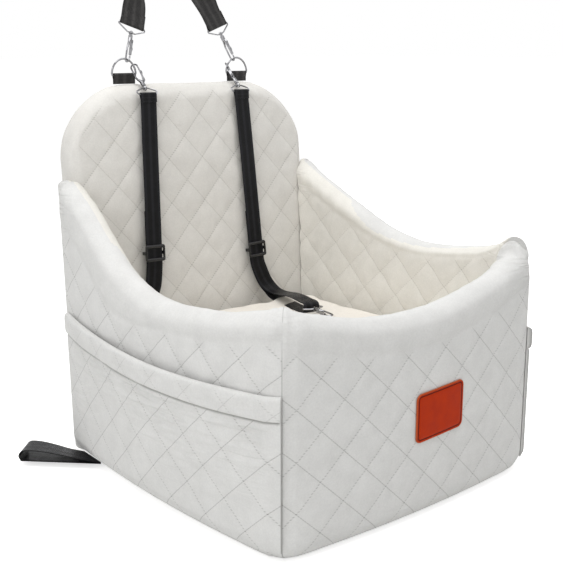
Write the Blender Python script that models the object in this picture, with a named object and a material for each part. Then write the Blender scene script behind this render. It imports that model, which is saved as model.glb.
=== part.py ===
# A padded car seat for a small dog. Metres, +Z up, front towards -Y, origin under the middle of the floor panel.
import math

import bmesh
import bpy
import numpy as np
from mathutils import Matrix, Vector

for old in list(bpy.data.objects):
    bpy.data.objects.remove(old, do_unlink=True)

# The tub, outside sizes
seat_width = 0.450
seat_depth = 0.500
back_height = 0.530
wall_thickness = 0.038
back_thickness = 0.047

# Fabric, and the gap that touching pieces keep
skin = 0.0022
gap = 0.0003
floor_lift = 0.0006
floor_panel_thickness = 0.0026
foot_radius = 0.024

# Rims of the side and front walls
side_rim_low = 0.2925
front_rim_low = 0.272
corner_rim = 0.313
rear_rim = 0.415
side_low_place = -0.105
rim_front_power = 1.7
rim_rear_power = 1.9
front_rim_power = 2.2

# How far the walls bow outwards in plan, and how much further their outer faces swell
side_bow = 0.0205
side_bow_length = 0.530
front_bow = 0.013
side_bulge = 0.006
front_bulge = 0.003
corner_pull = 0.005

# Back panel
back_half_width = 0.2150
back_corner_radius = 0.018
back_shoulder_width = 0.1165
back_shoulder_height = 0.115
back_lean = 0.027
lean_start = 0.080
lean_length = 0.120
tail_gap = 0.0012
tail_thickness = 0.0070
tail_drop = 0.008

# Inside the tub
block_height = 0.103
cushion_edge = 0.180
cushion_crown = 0.006
cushion_corner = 0.034
cushion_pull = 0.004

# Side pockets
pocket_skin = 0.0025
pocket_hem = 0.0150
pocket_hem_skin = 0.0038
pocket_foot = 0.0180
pocket_low = 0.170
pocket_front_rise = 0.036
pocket_rear_rise = 0.046
pocket_rear_power = 2.6
pocket_middle = -0.040
pocket_mouth = 0.0135
pocket_clearance = 0.0010

# Patch on the front
patch_width = 0.087
patch_height = 0.064
patch_corner = 0.008
patch_thickness = 0.0014
patch_edge = 0.0010
patch_place = (0.0285, 0.1325)

# Webbing
web = 0.0014
ring_web_width = 0.0366
tether_width = 0.0270
headrest_width = 0.0390
anchor_width = 0.0380
layer_gap = 0.0004

# D-rings on the top of the back
ring_spacing = 0.208
ring_radius = 0.0205
ring_stretch = 1.15
ring_set_back = 0.003
ring_wire = 0.0015
ring_bar_rise = 0.0130
ring_bar_half = 0.0195

# Snap hooks. Lengths along a hook are measured from the middle of its bail wire.
hook = {
    "wire": 0.0013,
    "bail": 0.0049,
    "boss_place": 0.0456,
    "post": 0.0012,
    "head": 0.0022,
    "head_height": 0.0016,
    "collar": 0.0025,
    "collar_height": 0.0019,
    "barrel": 0.0033,
    "barrel_length": 0.0070,
    "neck": 0.0014,
    "neck_length": 0.0115,
    "nose": 0.0030,
    "lug": 0.0021,
    "lug_half": 0.0009,
    "pivot_side": 0.0042,
    "pivot_drop": 0.0035,
    "pin": 0.0006,
    "pin_hole": 0.00095,
    "gate_half": 0.0012,
    "gate_cheek": 0.0018,
    "fork_gap": 0.0003,
    "thumb": 0.0016,
    "float": 0.0004,
}
boss = {"outer": 0.0034, "inner": 0.0016, "half": 0.0013}
eye_wire = 0.0011
headrest_eye = {"drop": 0.0125, "bar": 0.0208, "shoulder": 0.0218, "shoulder_drop": 0.0095}
tether_eye = {"drop": 0.0115, "bar": 0.0150, "shoulder": 0.0172, "shoulder_drop": 0.0066}

# How the headrest strap stands and the tethers hang
strand_angle = math.radians(20.0)
loop_lean = math.radians(16.7)
twist_reach = 1.15
apex_radius = 0.034
headrest_flap = 0.020
headrest_strips = 4
tether_contact_angle = math.radians(62.0)
tether_seat = 0.0050
tether_bar_drop = 0.0357
tether_bar_side = 0.0
tether_flap = 0.0120
slider_heights = {-1: 0.284, 1: 0.266}
slider_spread = 0.0965
slider_face_gap = 0.0115
tail_length = 0.080
slider = {
    "half_length": 0.0125,
    "bar": 0.0045,
    "middle_bar": 0.0020,
    "rail": 0.0028,
    "thickness": 0.0020,
    "clearance": 0.0004,
    "corner": 0.0020,
}

# Anchor loops at floor level
anchor_root = (0.2376, 0.158)
anchor_root_slope = 0.067
anchor_reach = 0.102
anchor_height = 0.0165
anchor_seam = 0.0075

# Finishes: colour, roughness, metallic
finishes = {
    "outer_fabric": ((0.78, 0.77, 0.74), 0.85, 0.0),
    "cushion_fabric": ((0.74, 0.71, 0.66), 0.85, 0.0),
    "foam": ((0.90, 0.86, 0.62), 0.95, 0.0),
    "leather": ((0.43, 0.05, 0.01), 0.55, 0.0),
    "webbing": ((0.012, 0.012, 0.014), 0.55, 0.0),
    "ribbed_webbing": ((0.035, 0.033, 0.033), 0.60, 0.0),
    "chrome": ((0.72, 0.72, 0.73), 0.18, 1.0),
    "black_plastic": ((0.010, 0.010, 0.011), 0.35, 0.0),
}


def finish(name):
    material = bpy.data.materials.get(name)
    if material:
        return material
    colour, roughness, metallic = finishes[name]
    material = bpy.data.materials.new(name)
    material.use_nodes = True
    shader = material.node_tree.nodes["Principled BSDF"]
    shader.inputs["Base Color"].default_value = (*colour, 1.0)
    shader.inputs["Roughness"].default_value = roughness
    shader.inputs["Metallic"].default_value = metallic
    return material


def mesh_of(name, points, faces, sharp_angle=math.radians(45)):
    mesh = bpy.data.meshes.new(name)
    mesh.from_pydata([tuple(float(c) for c in p) for p in points], [], faces)
    work = bmesh.new()
    work.from_mesh(mesh)
    bmesh.ops.recalc_face_normals(work, faces=work.faces)
    work.to_mesh(mesh)
    work.free()
    mesh.shade_smooth()
    mesh.set_sharp_from_angle(angle=sharp_angle)
    return mesh


def place(name, mesh, material, matrix=None):
    piece = bpy.data.objects.new(name, mesh)
    if not mesh.materials:
        mesh.materials.append(finish(material))
    bpy.context.scene.collection.objects.link(piece)
    if matrix is not None:
        piece.matrix_world = matrix
    return piece


def solid(name, points, faces, material, origin=(0.0, 0.0, 0.0)):
    """A piece given in world coordinates, with its object's origin at a chosen point."""
    origin = np.array(origin, float)
    moved = [np.array(p, float) - origin for p in points]
    return place(name, mesh_of(name, moved, faces), material, Matrix.Translation(Vector(origin)))


def baked(name, base, others):
    """The mesh of a base shape after Booleans with others, given as (mesh, operation)."""
    piece = bpy.data.objects.new(name, base)
    bpy.context.scene.collection.objects.link(piece)
    helpers = []
    for number, (mesh, operation) in enumerate(others):
        helper = bpy.data.objects.new(f"{name}_helper_{number}", mesh)
        bpy.context.scene.collection.objects.link(helper)
        helpers.append(helper)
        modifier = piece.modifiers.new(operation.title(), "BOOLEAN")
        modifier.operation = operation
        modifier.solver = "EXACT"
        modifier.object = helper
    graph = bpy.context.evaluated_depsgraph_get()
    result = bpy.data.meshes.new_from_object(piece.evaluated_get(graph))
    result.name = name
    result.shade_smooth()
    result.set_sharp_from_angle(angle=math.radians(45))
    for used in [piece, *helpers]:
        bpy.data.objects.remove(used, do_unlink=True)
    return result


def unit(vector):
    vector = np.array(vector, float)
    return vector / np.linalg.norm(vector)


def smooth_step(share):
    share = min(max(share, 0.0), 1.0)
    return share * share * (3.0 - 2.0 * share)


# Padded walls

def lean(point):
    """The top of the back leans away from the seat, and what is sewn to it follows."""
    x, y, z = point
    share = smooth_step((y - lean_start) / lean_length)
    return np.array([x, y + back_lean * (z / back_height) ** 2 * share, z])


def belly(height, top):
    share = min(max((height - floor_lift) / (top - floor_lift), 0.0), 1.0)
    return math.sin(math.pi * share) ** 0.8


def bow_of_side(y):
    return side_bow * max(0.0, math.sin(math.pi * (y + seat_depth / 2) / side_bow_length)) ** 0.7


def bow_of_front(x):
    return front_bow * max(0.0, math.cos(math.pi * x / seat_width)) ** 0.8


class Station:
    """One upright cut through a wall: its inner and outer edge in plan, its rim and its foot."""

    def __init__(self, inner, outer, top, foot, bulge, inside_levels, outside_levels):
        self.inner = np.array(inner, float)
        self.outer = np.array(outer, float)
        self.top = top
        self.foot = foot
        self.bulge = bulge
        self.inside_levels = inside_levels
        self.outside_levels = outside_levels
        self.width = float(np.linalg.norm(self.outer - self.inner))
        self.across = (self.outer - self.inner) / self.width

    def shift(self, offset):
        return Station(self.inner + offset, self.outer + offset, self.top, self.foot, self.bulge,
                       self.inside_levels, self.outside_levels)

    def swell(self, side, half, height):
        return side + self.bulge * belly(height, self.top) * max(0.0, side / half)

    def at(self, side, height):
        plan = (self.inner + self.outer) / 2 + self.across * side
        return lean((plan[0], plan[1], height))

    def outline(self, inset, rim_steps, foot_steps):
        """Points from the inner foot over the rim to the outer foot, moved inwards by the inset."""
        half = self.width / 2 - inset
        radius = self.width - self.foot - inset
        low = floor_lift + inset
        seat = floor_panel_thickness + gap
        spring = self.top - inset - half
        bend = low + radius
        points = [(-half, seat)]
        points += [(-half, seat + (spring - seat) * share) for share in self.inside_levels]
        for step in range(rim_steps + 1):
            turn = math.pi * (1.0 - step / rim_steps)
            points.append((half * math.cos(turn), spring + half * math.sin(turn)))
        points += [(half, bend + (spring - bend) * share) for share in reversed(self.outside_levels)]
        for step in range(foot_steps + 1):
            turn = -math.pi / 2 * step / foot_steps
            points.append((half - radius + radius * math.cos(turn), bend + radius * math.sin(turn)))
        return [self.at(self.swell(side, half, height), height) for side, height in points]

    def face(self, height, offset):
        """A point of the outer face at a height, moved straight out by an offset."""
        half = self.width / 2
        radius = self.width - self.foot
        drop = max(0.0, floor_lift + radius - height)
        side = half - radius + math.sqrt(max(0.0, radius ** 2 - drop ** 2))
        return self.at(self.swell(side, half, height) + offset, height)


def wall_grid(stations, inset, rim_steps, foot_steps):
    """Outlines of all stations. An inset also draws in the two ends."""
    first = stations[0].inner + stations[0].outer
    second = stations[1].inner + stations[1].outer
    last = stations[-1].inner + stations[-1].outer
    before = stations[-2].inner + stations[-2].outer
    drawn = list(stations)
    drawn[0] = stations[0].shift(unit(second - first) * inset)
    drawn[-1] = stations[-1].shift(unit(before - last) * inset)
    return [station.outline(inset, rim_steps, foot_steps) for station in drawn]


def cap(base, columns, levels, rim_steps, notch=()):
    """Faces over one end of a wall, level by level."""
    rise = levels + 1
    fall = rise + rim_steps
    faces = [tuple(base + j for j in range(rise, fall + 1))]
    for step in range(levels):
        faces.append((base + rise - step - 1, base + rise - step, base + fall + step, base + fall + step + 1))
    faces.append((base, base + 1, *range(base + fall + levels, base + columns), *notch))
    return faces


def skin_of_wall(name, stations, material):
    """A fabric cover, closed but for the foot, where the foam goes in."""
    rim_steps = 6
    outside = wall_grid(stations, 0.0, rim_steps, 3)
    inside = wall_grid(stations, skin, rim_steps, 3)
    rows, columns, levels = len(outside), len(outside[0]), len(stations[0].inside_levels)
    points = [p for row in outside for p in row] + [p for row in inside for p in row]
    start = rows * columns
    faces = []
    for layer in (0, start):
        for i in range(rows - 1):
            for j in range(columns - 1):
                a = layer + i * columns + j
                faces.append((a, a + columns, a + columns + 1, a + 1))
    for i in range(rows - 1):
        for j in (0, columns - 1):
            a = i * columns + j
            faces.append((a, a + columns, start + a + columns, start + a))
    for i in (0, rows - 1):
        a = i * columns
        b = a + columns - 1
        notch = len(points)
        points.append(np.array([*outside[i][-1][:2], outside[i][0][2]]))
        faces += cap(a, columns, levels, rim_steps, [notch])
        faces += cap(start + a, columns, levels, rim_steps)
        faces.append((a, notch, start + b, start + a))
        faces.append((notch, b, start + b))
    return solid(name, points, faces, material)


def core_of_wall(name, stations):
    rim_steps = 3
    rows = wall_grid(stations, skin + gap, rim_steps, 1)
    points, faces = loft(rows)
    levels = len(stations[0].inside_levels)
    faces = faces[2:]
    for i in (0, len(rows) - 1):
        faces += cap(i * len(rows[0]), len(rows[0]), levels, rim_steps)
    return solid(name, points, faces, "foam")


def loft(rings):
    """Points and faces of a closed solid through rings of equal count, with flat ends."""
    count = len(rings[0])
    points = [p for ring in rings for p in ring]
    faces = [tuple(range(count)), tuple((len(rings) - 1) * count + j for j in range(count))]
    for i in range(len(rings) - 1):
        for j in range(count):
            a = i * count + j
            b = i * count + (j + 1) % count
            faces.append((a, a + count, b + count, b))
    return points, faces


half_width = seat_width / 2
half_depth = seat_depth / 2
inner_side = half_width - wall_thickness
inner_front = -half_depth + wall_thickness
back_front = half_depth - back_thickness
wall_foot = wall_thickness - foot_radius
back_foot = back_thickness - foot_radius
mitre_shift = gap * 0.75
tail_angles = [math.radians(a) for a in (15, 35, 55, 75)]
tail_drop_shares = (0.0, 0.15, 0.5, 1.0)
back_corner_angles = [math.radians(a) for a in (0, 30, 55, 75)]
thin_foot_share = 0.4
wall_level_shares = (0.25, 0.5, 0.75)
back_level_shares = (0.2, 0.4, 0.6, 0.8)
side_place_shares = (0.10, 0.22, 0.38, 0.54, 0.67, 0.78, 0.88)
front_place_shares = (0.20, 0.45, 0.67, 0.87)
back_place_shares = (0.25, 0.50, 0.70, 0.84, 0.95)


corner_place = (half_width + inner_side - corner_pull) / 2
corner_depth = (half_depth - inner_front - corner_pull) / 2


def side_rim(y):
    if y < side_low_place:
        share = (side_low_place - y) / (side_low_place + corner_depth)
        return side_rim_low + (corner_rim - side_rim_low) * share ** rim_front_power
    share = (y - side_low_place) / (half_depth - back_thickness / 2 - side_low_place)
    return side_rim_low + (rear_rim - side_rim_low) * share ** rim_rear_power


def front_rim(x):
    return front_rim_low + (corner_rim - front_rim_low) * (abs(x) / corner_place) ** front_rim_power


def side_stations(side):
    """The wall at +X for side 1, and its mirror image for side -1."""
    top = corner_rim
    diagonal_foot = math.sqrt(2) * wall_foot
    plan = [
        ((inner_side, inner_front + mitre_shift),
         (half_width - corner_pull, -half_depth + corner_pull + mitre_shift), top, diagonal_foot),
        ((inner_side + bow_of_side(inner_front + wall_thickness / 4), inner_front + wall_thickness / 4),
         (half_width + bow_of_side(-half_depth + wall_thickness * 0.6) - corner_pull / 6,
          -half_depth + wall_thickness * 0.6), None, wall_foot * 1.22),
    ]
    straight_start = inner_front + wall_thickness / 2
    straight_end = back_front - gap * 4
    for share in (*side_place_shares, 1.0):
        y = straight_start + (straight_end - straight_start) * share
        plan.append(((inner_side + bow_of_side(y), y), (half_width + bow_of_side(y), y), None, wall_foot))
    centre = (back_half_width - back_corner_radius, back_front + back_corner_radius)
    reach = back_corner_radius + tail_gap
    for number, turn in enumerate(tail_angles):
        share = number / (len(tail_angles) - 1)
        inner = (centre[0] + reach * math.sin(turn), centre[1] - reach * math.cos(turn))
        out = bow_of_side(inner[1])
        outer = (half_width + out + (inner[0] + tail_thickness - half_width) * share, inner[1] + gap * 4)
        thickness = math.dist(inner, outer)
        rim = side_rim((inner[1] + outer[1]) / 2) - tail_drop * tail_drop_shares[number]
        plan.append((inner, outer, rim, thickness * thin_foot_share))
    stations = []
    for inner, outer, rim, foot in plan:
        middle = (inner[1] + outer[1]) / 2
        share = (middle + half_depth) / seat_depth
        bulge = side_bulge * max(0.0, math.sin(math.pi * share)) ** 0.9
        if rim == corner_rim:
            bulge = 0.0
        stations.append(Station((inner[0] * side, inner[1]), (outer[0] * side, outer[1]),
                                rim or side_rim(middle), foot, bulge, wall_level_shares, wall_level_shares))
    return stations


def front_station(x):
    bulge = front_bulge * math.cos(math.pi * x / seat_width) ** 0.9
    bow = bow_of_front(x)
    return Station((x, inner_front - bow), (x, -half_depth - bow), front_rim(x), wall_foot, bulge,
                   wall_level_shares, wall_level_shares)


def front_stations():
    top = corner_rim
    half = []
    straight = inner_side - wall_thickness / 2
    for share in front_place_shares:
        half.append(front_station(straight * share))
    x = inner_side - wall_thickness / 4
    near = front_station(x)
    out = half_width - wall_thickness * 0.6
    half.append(Station((x, inner_front - bow_of_front(x)), (out, -half_depth - bow_of_front(out) + corner_pull / 6),
                        near.top, wall_foot * 1.22, near.bulge / 2, wall_level_shares, wall_level_shares))
    half.append(Station((inner_side - mitre_shift, inner_front),
                        (half_width - corner_pull - mitre_shift, -half_depth + corner_pull),
                        top, math.sqrt(2) * wall_foot, 0.0, wall_level_shares, wall_level_shares))
    return mirrored(half, front_station(0.0))


def mirrored(half, middle):
    """Stations for a wall that is alike on both sides of the middle one."""
    other = [Station((-s.inner[0], s.inner[1]), (-s.outer[0], s.outer[1]), s.top, s.foot, s.bulge,
                     s.inside_levels, s.outside_levels) for s in reversed(half)]
    return other + [middle] + half


def back_rim(x):
    flat = back_half_width + gap * 5 - back_shoulder_width
    over = (abs(x) - flat) / back_shoulder_width
    if over <= 0.0:
        return back_height
    return back_height - back_shoulder_height * (1.0 - math.sqrt(1.0 - min(over, 1.0) ** 2))


def back_stations():
    flat = back_half_width - back_corner_radius

    def cut(x, drawn):
        thickness = back_thickness - 2 * drawn
        foot = back_foot if drawn == 0.0 else thickness * thin_foot_share
        return Station((x, back_front + drawn), (x, half_depth - drawn), back_rim(x), foot, 0.0,
                       back_level_shares, back_level_shares)

    half = [cut(flat * share, 0.0) for share in back_place_shares]
    for turn in back_corner_angles:
        half.append(cut(flat + back_corner_radius * math.sin(turn), back_corner_radius * (1.0 - math.cos(turn))))
    return mirrored(half, cut(0.0, 0.0))


walls = {
    "front_wall": front_stations(),
    "left_wall": side_stations(-1),
    "right_wall": side_stations(1),
    "back_panel": back_stations(),
}
for wall, stations in walls.items():
    skin_of_wall(f"{wall}_cover", stations, "outer_fabric")
    core_of_wall(f"{wall}_foam", stations)


# Floor panel, booster block and cushion

def tub_outline(offset, foot_share):
    """The outline of the space between the walls in plan, or between their feet with a foot share of 1."""
    points = []
    corner = len(walls["right_wall"]) - len(tail_angles)
    right = walls["right_wall"][:corner]
    back = [s for s in walls["back_panel"] if abs(s.inner[0]) < inner_side + gap]
    left = walls["left_wall"][:corner]
    front = walls["front_wall"][1:-1]
    for station in [*right, *back[::-1], *left[::-1], *front]:
        slant = max(abs(station.across[0]), abs(station.across[1]))
        points.append(station.inner + station.across * (station.foot * foot_share - offset / slant))
    return points


def slab(name, outline, low, high, material):
    return solid(name, *loft([[(x, y, z) for x, y in outline] for z in (high, low)]), material)


panel_clearance = 0.0006
block_clearance = 0.0010
slab("floor_panel", tub_outline(panel_clearance, 1.0), 0.0, floor_panel_thickness, "outer_fabric")
slab("booster_block", tub_outline(block_clearance, 0.0), floor_panel_thickness + gap, block_height, "foam")


def rounded_loop(half_x, half_y, corner, height, pull, middle_y):
    """A rounded rectangle whose sides are drawn in between the corners."""
    side_steps, corner_steps = 5, 4
    corner = min(corner, half_x * 0.9, half_y * 0.9)
    points = []
    quarters = ((1, 1, 0), (-1, 1, 1), (-1, -1, 2), (1, -1, 3))
    for sign_x, sign_y, quarter in quarters:
        centre_x = sign_x * (half_x - corner)
        centre_y = sign_y * (half_y - corner)
        for step in range(corner_steps + 1):
            turn = math.pi / 2 * (quarter + step / corner_steps)
            points.append((centre_x + corner * math.cos(turn), centre_y + corner * math.sin(turn)))
        next_x, next_y, _ = quarters[(quarter + 1) % 4]
        start = points[-1]
        turn = math.pi / 2 * (quarter + 1)
        end = (next_x * (half_x - corner) + corner * math.cos(turn), next_y * (half_y - corner) + corner * math.sin(turn))
        for step in range(1, side_steps):
            share = step / side_steps
            draw = pull * math.sin(math.pi * share) ** 2
            x = start[0] + (end[0] - start[0]) * share - draw * math.cos(turn)
            y = start[1] + (end[1] - start[1]) * share - draw * math.sin(turn)
            points.append((x, y))
    return [np.array([x, middle_y + y, height]) for x, y in points]


def follow_walls(loop):
    """A loop of points moved outwards with the bowed walls."""
    moved = []
    for x, y, z in loop:
        share_x = min(abs(x) / inner_side, 1.0) ** 2
        share_y = min(max(y / inner_front, 0.0), 1.0) ** 2
        moved.append(np.array([x + math.copysign(bow_of_side(y) * share_x, x), y - bow_of_front(x) * share_y, z]))
    return moved


cushion_low = block_height + gap
cushion_half_x = inner_side - gap * 3
cushion_half_y = (back_front - inner_front) / 2 - gap * 3
cushion_middle = (back_front + inner_front) / 2
cushion_height = cushion_edge - cushion_low
# Each row: how far in from the edge, as a share of the width, and the height, as a share of the side's height.
cushion_side_shares = ((0.07, 0.0), (0.018, 0.10), (0.0, 0.40), (0.004, 0.70), (0.030, 0.93), (0.085, 1.0))
cushion_crown_shares = ((0.25, 0.45), (0.55, 0.80), (0.80, 0.96))
cushion_opening_share = 0.30


def cushion_rings(inset):
    rings = []
    for draw, height in cushion_side_shares:
        away = cushion_half_x * draw + inset
        z = cushion_low + inset + (cushion_height - 2 * inset) * height
        pull = cushion_pull * math.sin(math.pi * min(height + 0.1, 1.0))
        rings.append(rounded_loop(cushion_half_x - away, cushion_half_y - away, cushion_corner - inset, z, pull, cushion_middle))
    for draw, height in cushion_crown_shares:
        share = 1.0 - draw
        z = cushion_edge - inset + cushion_crown * height
        rings.append(rounded_loop((cushion_half_x - inset) * share, (cushion_half_y - inset) * share,
                                  cushion_corner, z, 0.0, cushion_middle))
    return [follow_walls(ring) for ring in rings]


def opening_ring(height):
    share = 1.0 - cushion_opening_share
    flat = rounded_loop(cushion_half_x * share, cushion_half_y * share, cushion_corner, height, 0.0, cushion_middle)
    return follow_walls(flat)


def stacked(rings, poles, closed_between=True):
    """Faces between rings in turn, with a point closing each listed end ring."""
    count = len(rings[0])
    points = [p for ring in rings for p in ring]
    faces = []
    for i in range(len(rings) - 1):
        for j in range(count):
            a = i * count + j
            b = i * count + (j + 1) % count
            faces.append((a, a + count, b + count, b))
    for ring, pole in poles:
        points.append(pole)
        for j in range(count):
            faces.append((ring * count + j, ring * count + (j + 1) % count, len(points) - 1))
    return points, faces


def cushion_cover():
    outside = [opening_ring(cushion_low)] + cushion_rings(0.0)
    inside = [opening_ring(cushion_low + skin)] + cushion_rings(skin)
    count = len(outside[0])
    peak = cushion_edge + cushion_crown
    points, faces = stacked(outside, [(len(outside) - 1, np.array([0.0, cushion_middle, peak]))])
    more, more_faces = stacked(inside, [(len(inside) - 1, np.array([0.0, cushion_middle, peak - skin]))])
    start = len(points)
    faces += [tuple(start + k for k in face) for face in more_faces]
    for j in range(count):
        k = (j + 1) % count
        faces.append((j, k, start + k, start + j))
    return solid("seat_cushion_cover", points + more, faces, "cushion_fabric")


def cushion_filling():
    inset = skin + gap
    rings = cushion_rings(inset)
    low = cushion_low + inset
    peak = cushion_edge + cushion_crown - inset
    poles = [(0, np.array([0.0, cushion_middle, low])), (len(rings) - 1, np.array([0.0, cushion_middle, peak]))]
    return solid("seat_cushion_filling", *stacked(rings, poles), "foam")


cushion_cover()
cushion_filling()


# Pockets on the side walls

def pocket_edge(y):
    if y < pocket_middle:
        share = (pocket_middle - y) / (half_depth + pocket_middle)
        return pocket_low + pocket_front_rise * share ** 2
    share = (y - pocket_middle) / (half_depth - pocket_middle)
    return pocket_low + pocket_rear_rise * share ** pocket_rear_power


def sheet(inner_rows, outer_rows):
    """A thick sheet from two grids of points that face each other."""
    rows, columns = len(inner_rows), len(inner_rows[0])
    points = [p for row in inner_rows for p in row] + [p for row in outer_rows for p in row]
    start = rows * columns
    faces = []
    for layer in (0, start):
        for i in range(rows - 1):
            for j in range(columns - 1):
                a = layer + i * columns + j
                faces.append((a, a + columns, a + columns + 1, a + 1))
    rim = [j for j in range(columns)]
    rim += [i * columns + columns - 1 for i in range(1, rows)]
    rim += [(rows - 1) * columns + j for j in range(columns - 2, -1, -1)]
    rim += [i * columns for i in range(rows - 2, 0, -1)]
    for a, b in zip(rim, rim[1:] + rim[:1]):
        faces.append((a, b, start + b, start + a))
    return points, faces


pocket_row_shares = (0.0, 0.05, 0.14, 0.32, 0.52, 0.74, 1.0)


def pocket(name, stations):
    used = stations[:-4]
    inner_rows, outer_rows = [], []
    for number, station in enumerate(used):
        along = number / (len(used) - 1)
        y = (station.inner[1] + station.outer[1]) / 2
        edge = pocket_edge(y)
        seam = edge - pocket_hem
        rows = [(pocket_foot + (seam - pocket_foot) * share, pocket_skin) for share in pocket_row_shares]
        rows += [(seam + gap * 2, pocket_hem_skin), (edge, pocket_hem_skin)]
        inner, outer = [], []
        for height, thickness in rows:
            share = (height - pocket_foot) / (edge - pocket_foot)
            opened = pocket_mouth * math.sin(math.pi * along) * share ** 1.3
            offset = pocket_clearance + opened
            inner.append(station.face(height, offset))
            outer.append(station.face(height, offset + thickness))
        inner_rows.append(inner)
        outer_rows.append(outer)
    return solid(name, *sheet(inner_rows, outer_rows), "outer_fabric")


pocket("left_pocket", walls["left_wall"])
pocket("right_pocket", walls["right_wall"])


# Patch on the front, left bare

def patch_ring(scale, shrink, offset):
    half_x = (patch_width / 2 - shrink) * scale
    half_z = (patch_height / 2 - shrink) * scale
    flat = rounded_loop(half_x, half_z, patch_corner * scale, 0.0, 0.0, 0.0)
    ring = []
    for x, z, _ in flat:
        place_x = patch_place[0] + x
        height = patch_place[1] + z
        ring.append(front_station(place_x).face(height, offset))
    return ring


def leather_patch():
    back = gap * 2
    front = back + patch_thickness
    middle_back = front_station(patch_place[0]).face(patch_place[1], back)
    middle_front = front_station(patch_place[0]).face(patch_place[1], front)
    rings = [patch_ring(0.5, 0.0, back), patch_ring(1.0, 0.0, back), patch_ring(1.0, 0.0, front - patch_edge / 2),
             patch_ring(1.0, patch_edge, front), patch_ring(0.5, 0.0, front)]
    return solid("leather_patch", *stacked(rings, [(0, middle_back), (4, middle_front)]), "leather")


leather_patch()


# Webbing and wire

def ribbon(name, path, width, material, origin=(0.0, 0.0, 0.0), strips=1):
    """A flat strap through (point, width direction) pairs, cut into strips where it twists."""
    points = [np.array(p, float) for p, _ in path]
    shares = [1.0 - 2.0 * step / strips for step in range(strips + 1)]
    section = [(share, 1) for share in shares] + [(share, -1) for share in reversed(shares)]
    rings = []
    for i, (point, across) in enumerate(path):
        after = points[min(i + 1, len(points) - 1)]
        before = points[max(i - 1, 0)]
        along = unit(after - before)
        wide = np.array(across, float)
        wide = unit(wide - along * float(wide @ along))
        face = np.cross(wide, along)
        rings.append([points[i] + wide * (width / 2) * a + face * (web / 2) * b
                      for a, b in section])
    return solid(name, *loft(rings), material, origin)


def curve_through(knots, steps):
    """Points of a smooth curve through the knots, which may be points with a width direction appended."""
    knots = [np.array(k, float) for k in knots]
    ends = [2 * knots[0] - knots[1], *knots, 2 * knots[-1] - knots[-2]]
    found = []
    for i in range(1, len(ends) - 2):
        p0, p1, p2, p3 = ends[i - 1:i + 3]
        for step in range(steps):
            t = step / steps
            found.append(0.5 * (2 * p1 + (p2 - p0) * t + (2 * p0 - 5 * p1 + 4 * p2 - p3) * t * t
                                + (3 * p1 - p0 - 3 * p2 + p3) * t ** 3))
    found.append(knots[-1])
    return found


def arc(start, end, steps):
    return [start + (end - start) * step / steps for step in range(steps + 1)]


def tube(path, radii, sides, closed=False):
    """A round bar along a path in its own XZ plane, with a radius at each point."""
    path = [np.array([x, 0.0, z]) for x, z in path]
    count = len(path)
    level = np.array([0.0, 1.0, 0.0])
    rings = []
    for i, point in enumerate(path):
        after = path[(i + 1) % count] if closed else path[min(i + 1, count - 1)]
        before = path[i - 1] if closed else path[max(i - 1, 0)]
        steps = [unit(leg) for leg in (after - point, point - before) if np.linalg.norm(leg) > 0]
        along = unit(sum(steps))
        stretch = 1.0 / max(float(along @ steps[0]), 0.8)
        side = np.cross(level, along)
        rings.append([point + radii[i] * (side * math.cos(t) * stretch + level * math.sin(t))
                      for t in [2 * math.pi * (k + 0.5) / sides for k in range(sides)]])
    if not closed:
        return loft(rings)
    points = [p for ring in rings for p in ring]
    faces = []
    for i in range(count):
        for j in range(sides):
            a, b = i * sides + j, i * sides + (j + 1) % sides
            c, d = ((i + 1) % count) * sides + j, ((i + 1) % count) * sides + (j + 1) % sides
            faces.append((a, c, d, b))
    return points, faces


def plate(outline, low, high):
    """A flat plate in the XZ plane between two Y places."""
    return loft([[(x, y, z) for x, z in outline] for y in (low, high)])


def frame_at(origin, along, across):
    """A matrix whose Z runs along, and whose X is as near to across as it can be."""
    z = unit(along)
    x = np.array(across, float)
    x = unit(x - z * float(x @ z))
    y = np.cross(z, x)
    return Matrix([[x[0], y[0], z[0], origin[0]], [x[1], y[1], z[1], origin[1]],
                   [x[2], y[2], z[2], origin[2]], [0, 0, 0, 1]])


# D-rings and the tabs that hold them on the top of the back

panel_middle = half_depth - back_thickness / 2
ring_place = panel_middle + back_lean + ring_set_back
ring_bar_height = back_height + ring_bar_rise


def ring_path():
    corner = math.asin(ring_wire * 1.5 / ring_radius)
    bow = [(ring_radius * math.cos(t), ring_radius * ring_stretch * math.sin(t))
           for t in arc(corner, math.pi - corner, 14)]
    return [(ring_bar_half, 0.0), *bow, (-ring_bar_half, 0.0)]


def ring_mesh():
    path = ring_path()
    return mesh_of("d_ring", *tube(path, [ring_wire] * len(path), 8, closed=True))


def tab(name, x):
    """Webbing folded round the ring's bar and sewn together below it."""
    round_bar = ring_wire + gap + web / 2
    pressed = (web + layer_gap) / 2
    narrow = ring_bar_height - ring_wire * 4
    foot_front = back_height + gap
    flat = [(pressed, foot_front), (pressed, narrow)]
    flat += [(round_bar * math.cos(t), ring_bar_height + round_bar * math.sin(t)) for t in arc(0.0, math.pi, 8)]
    flat += [(-pressed, narrow), (-pressed, foot_front)]
    path = [((x, ring_place + y, z), (1, 0, 0)) for y, z in flat]
    return ribbon(name, path, ring_web_width, "webbing")


shared_ring = ring_mesh()
for word, side in (("left", -1), ("right", 1)):
    x = side * ring_spacing / 2
    place(f"{word}_d_ring", shared_ring, "chrome", Matrix.Translation((x, ring_place, ring_bar_height)))
    tab(f"{word}_ring_tab", x)


# Snap hooks: body, gate, gate pin and eye

def hook_pivot():
    barrel_foot = hook["boss_place"] - boss["half"] - hook["float"] - hook["collar_height"] - hook["barrel_length"]
    return -hook["pivot_side"], barrel_foot - hook["pivot_drop"]


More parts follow.
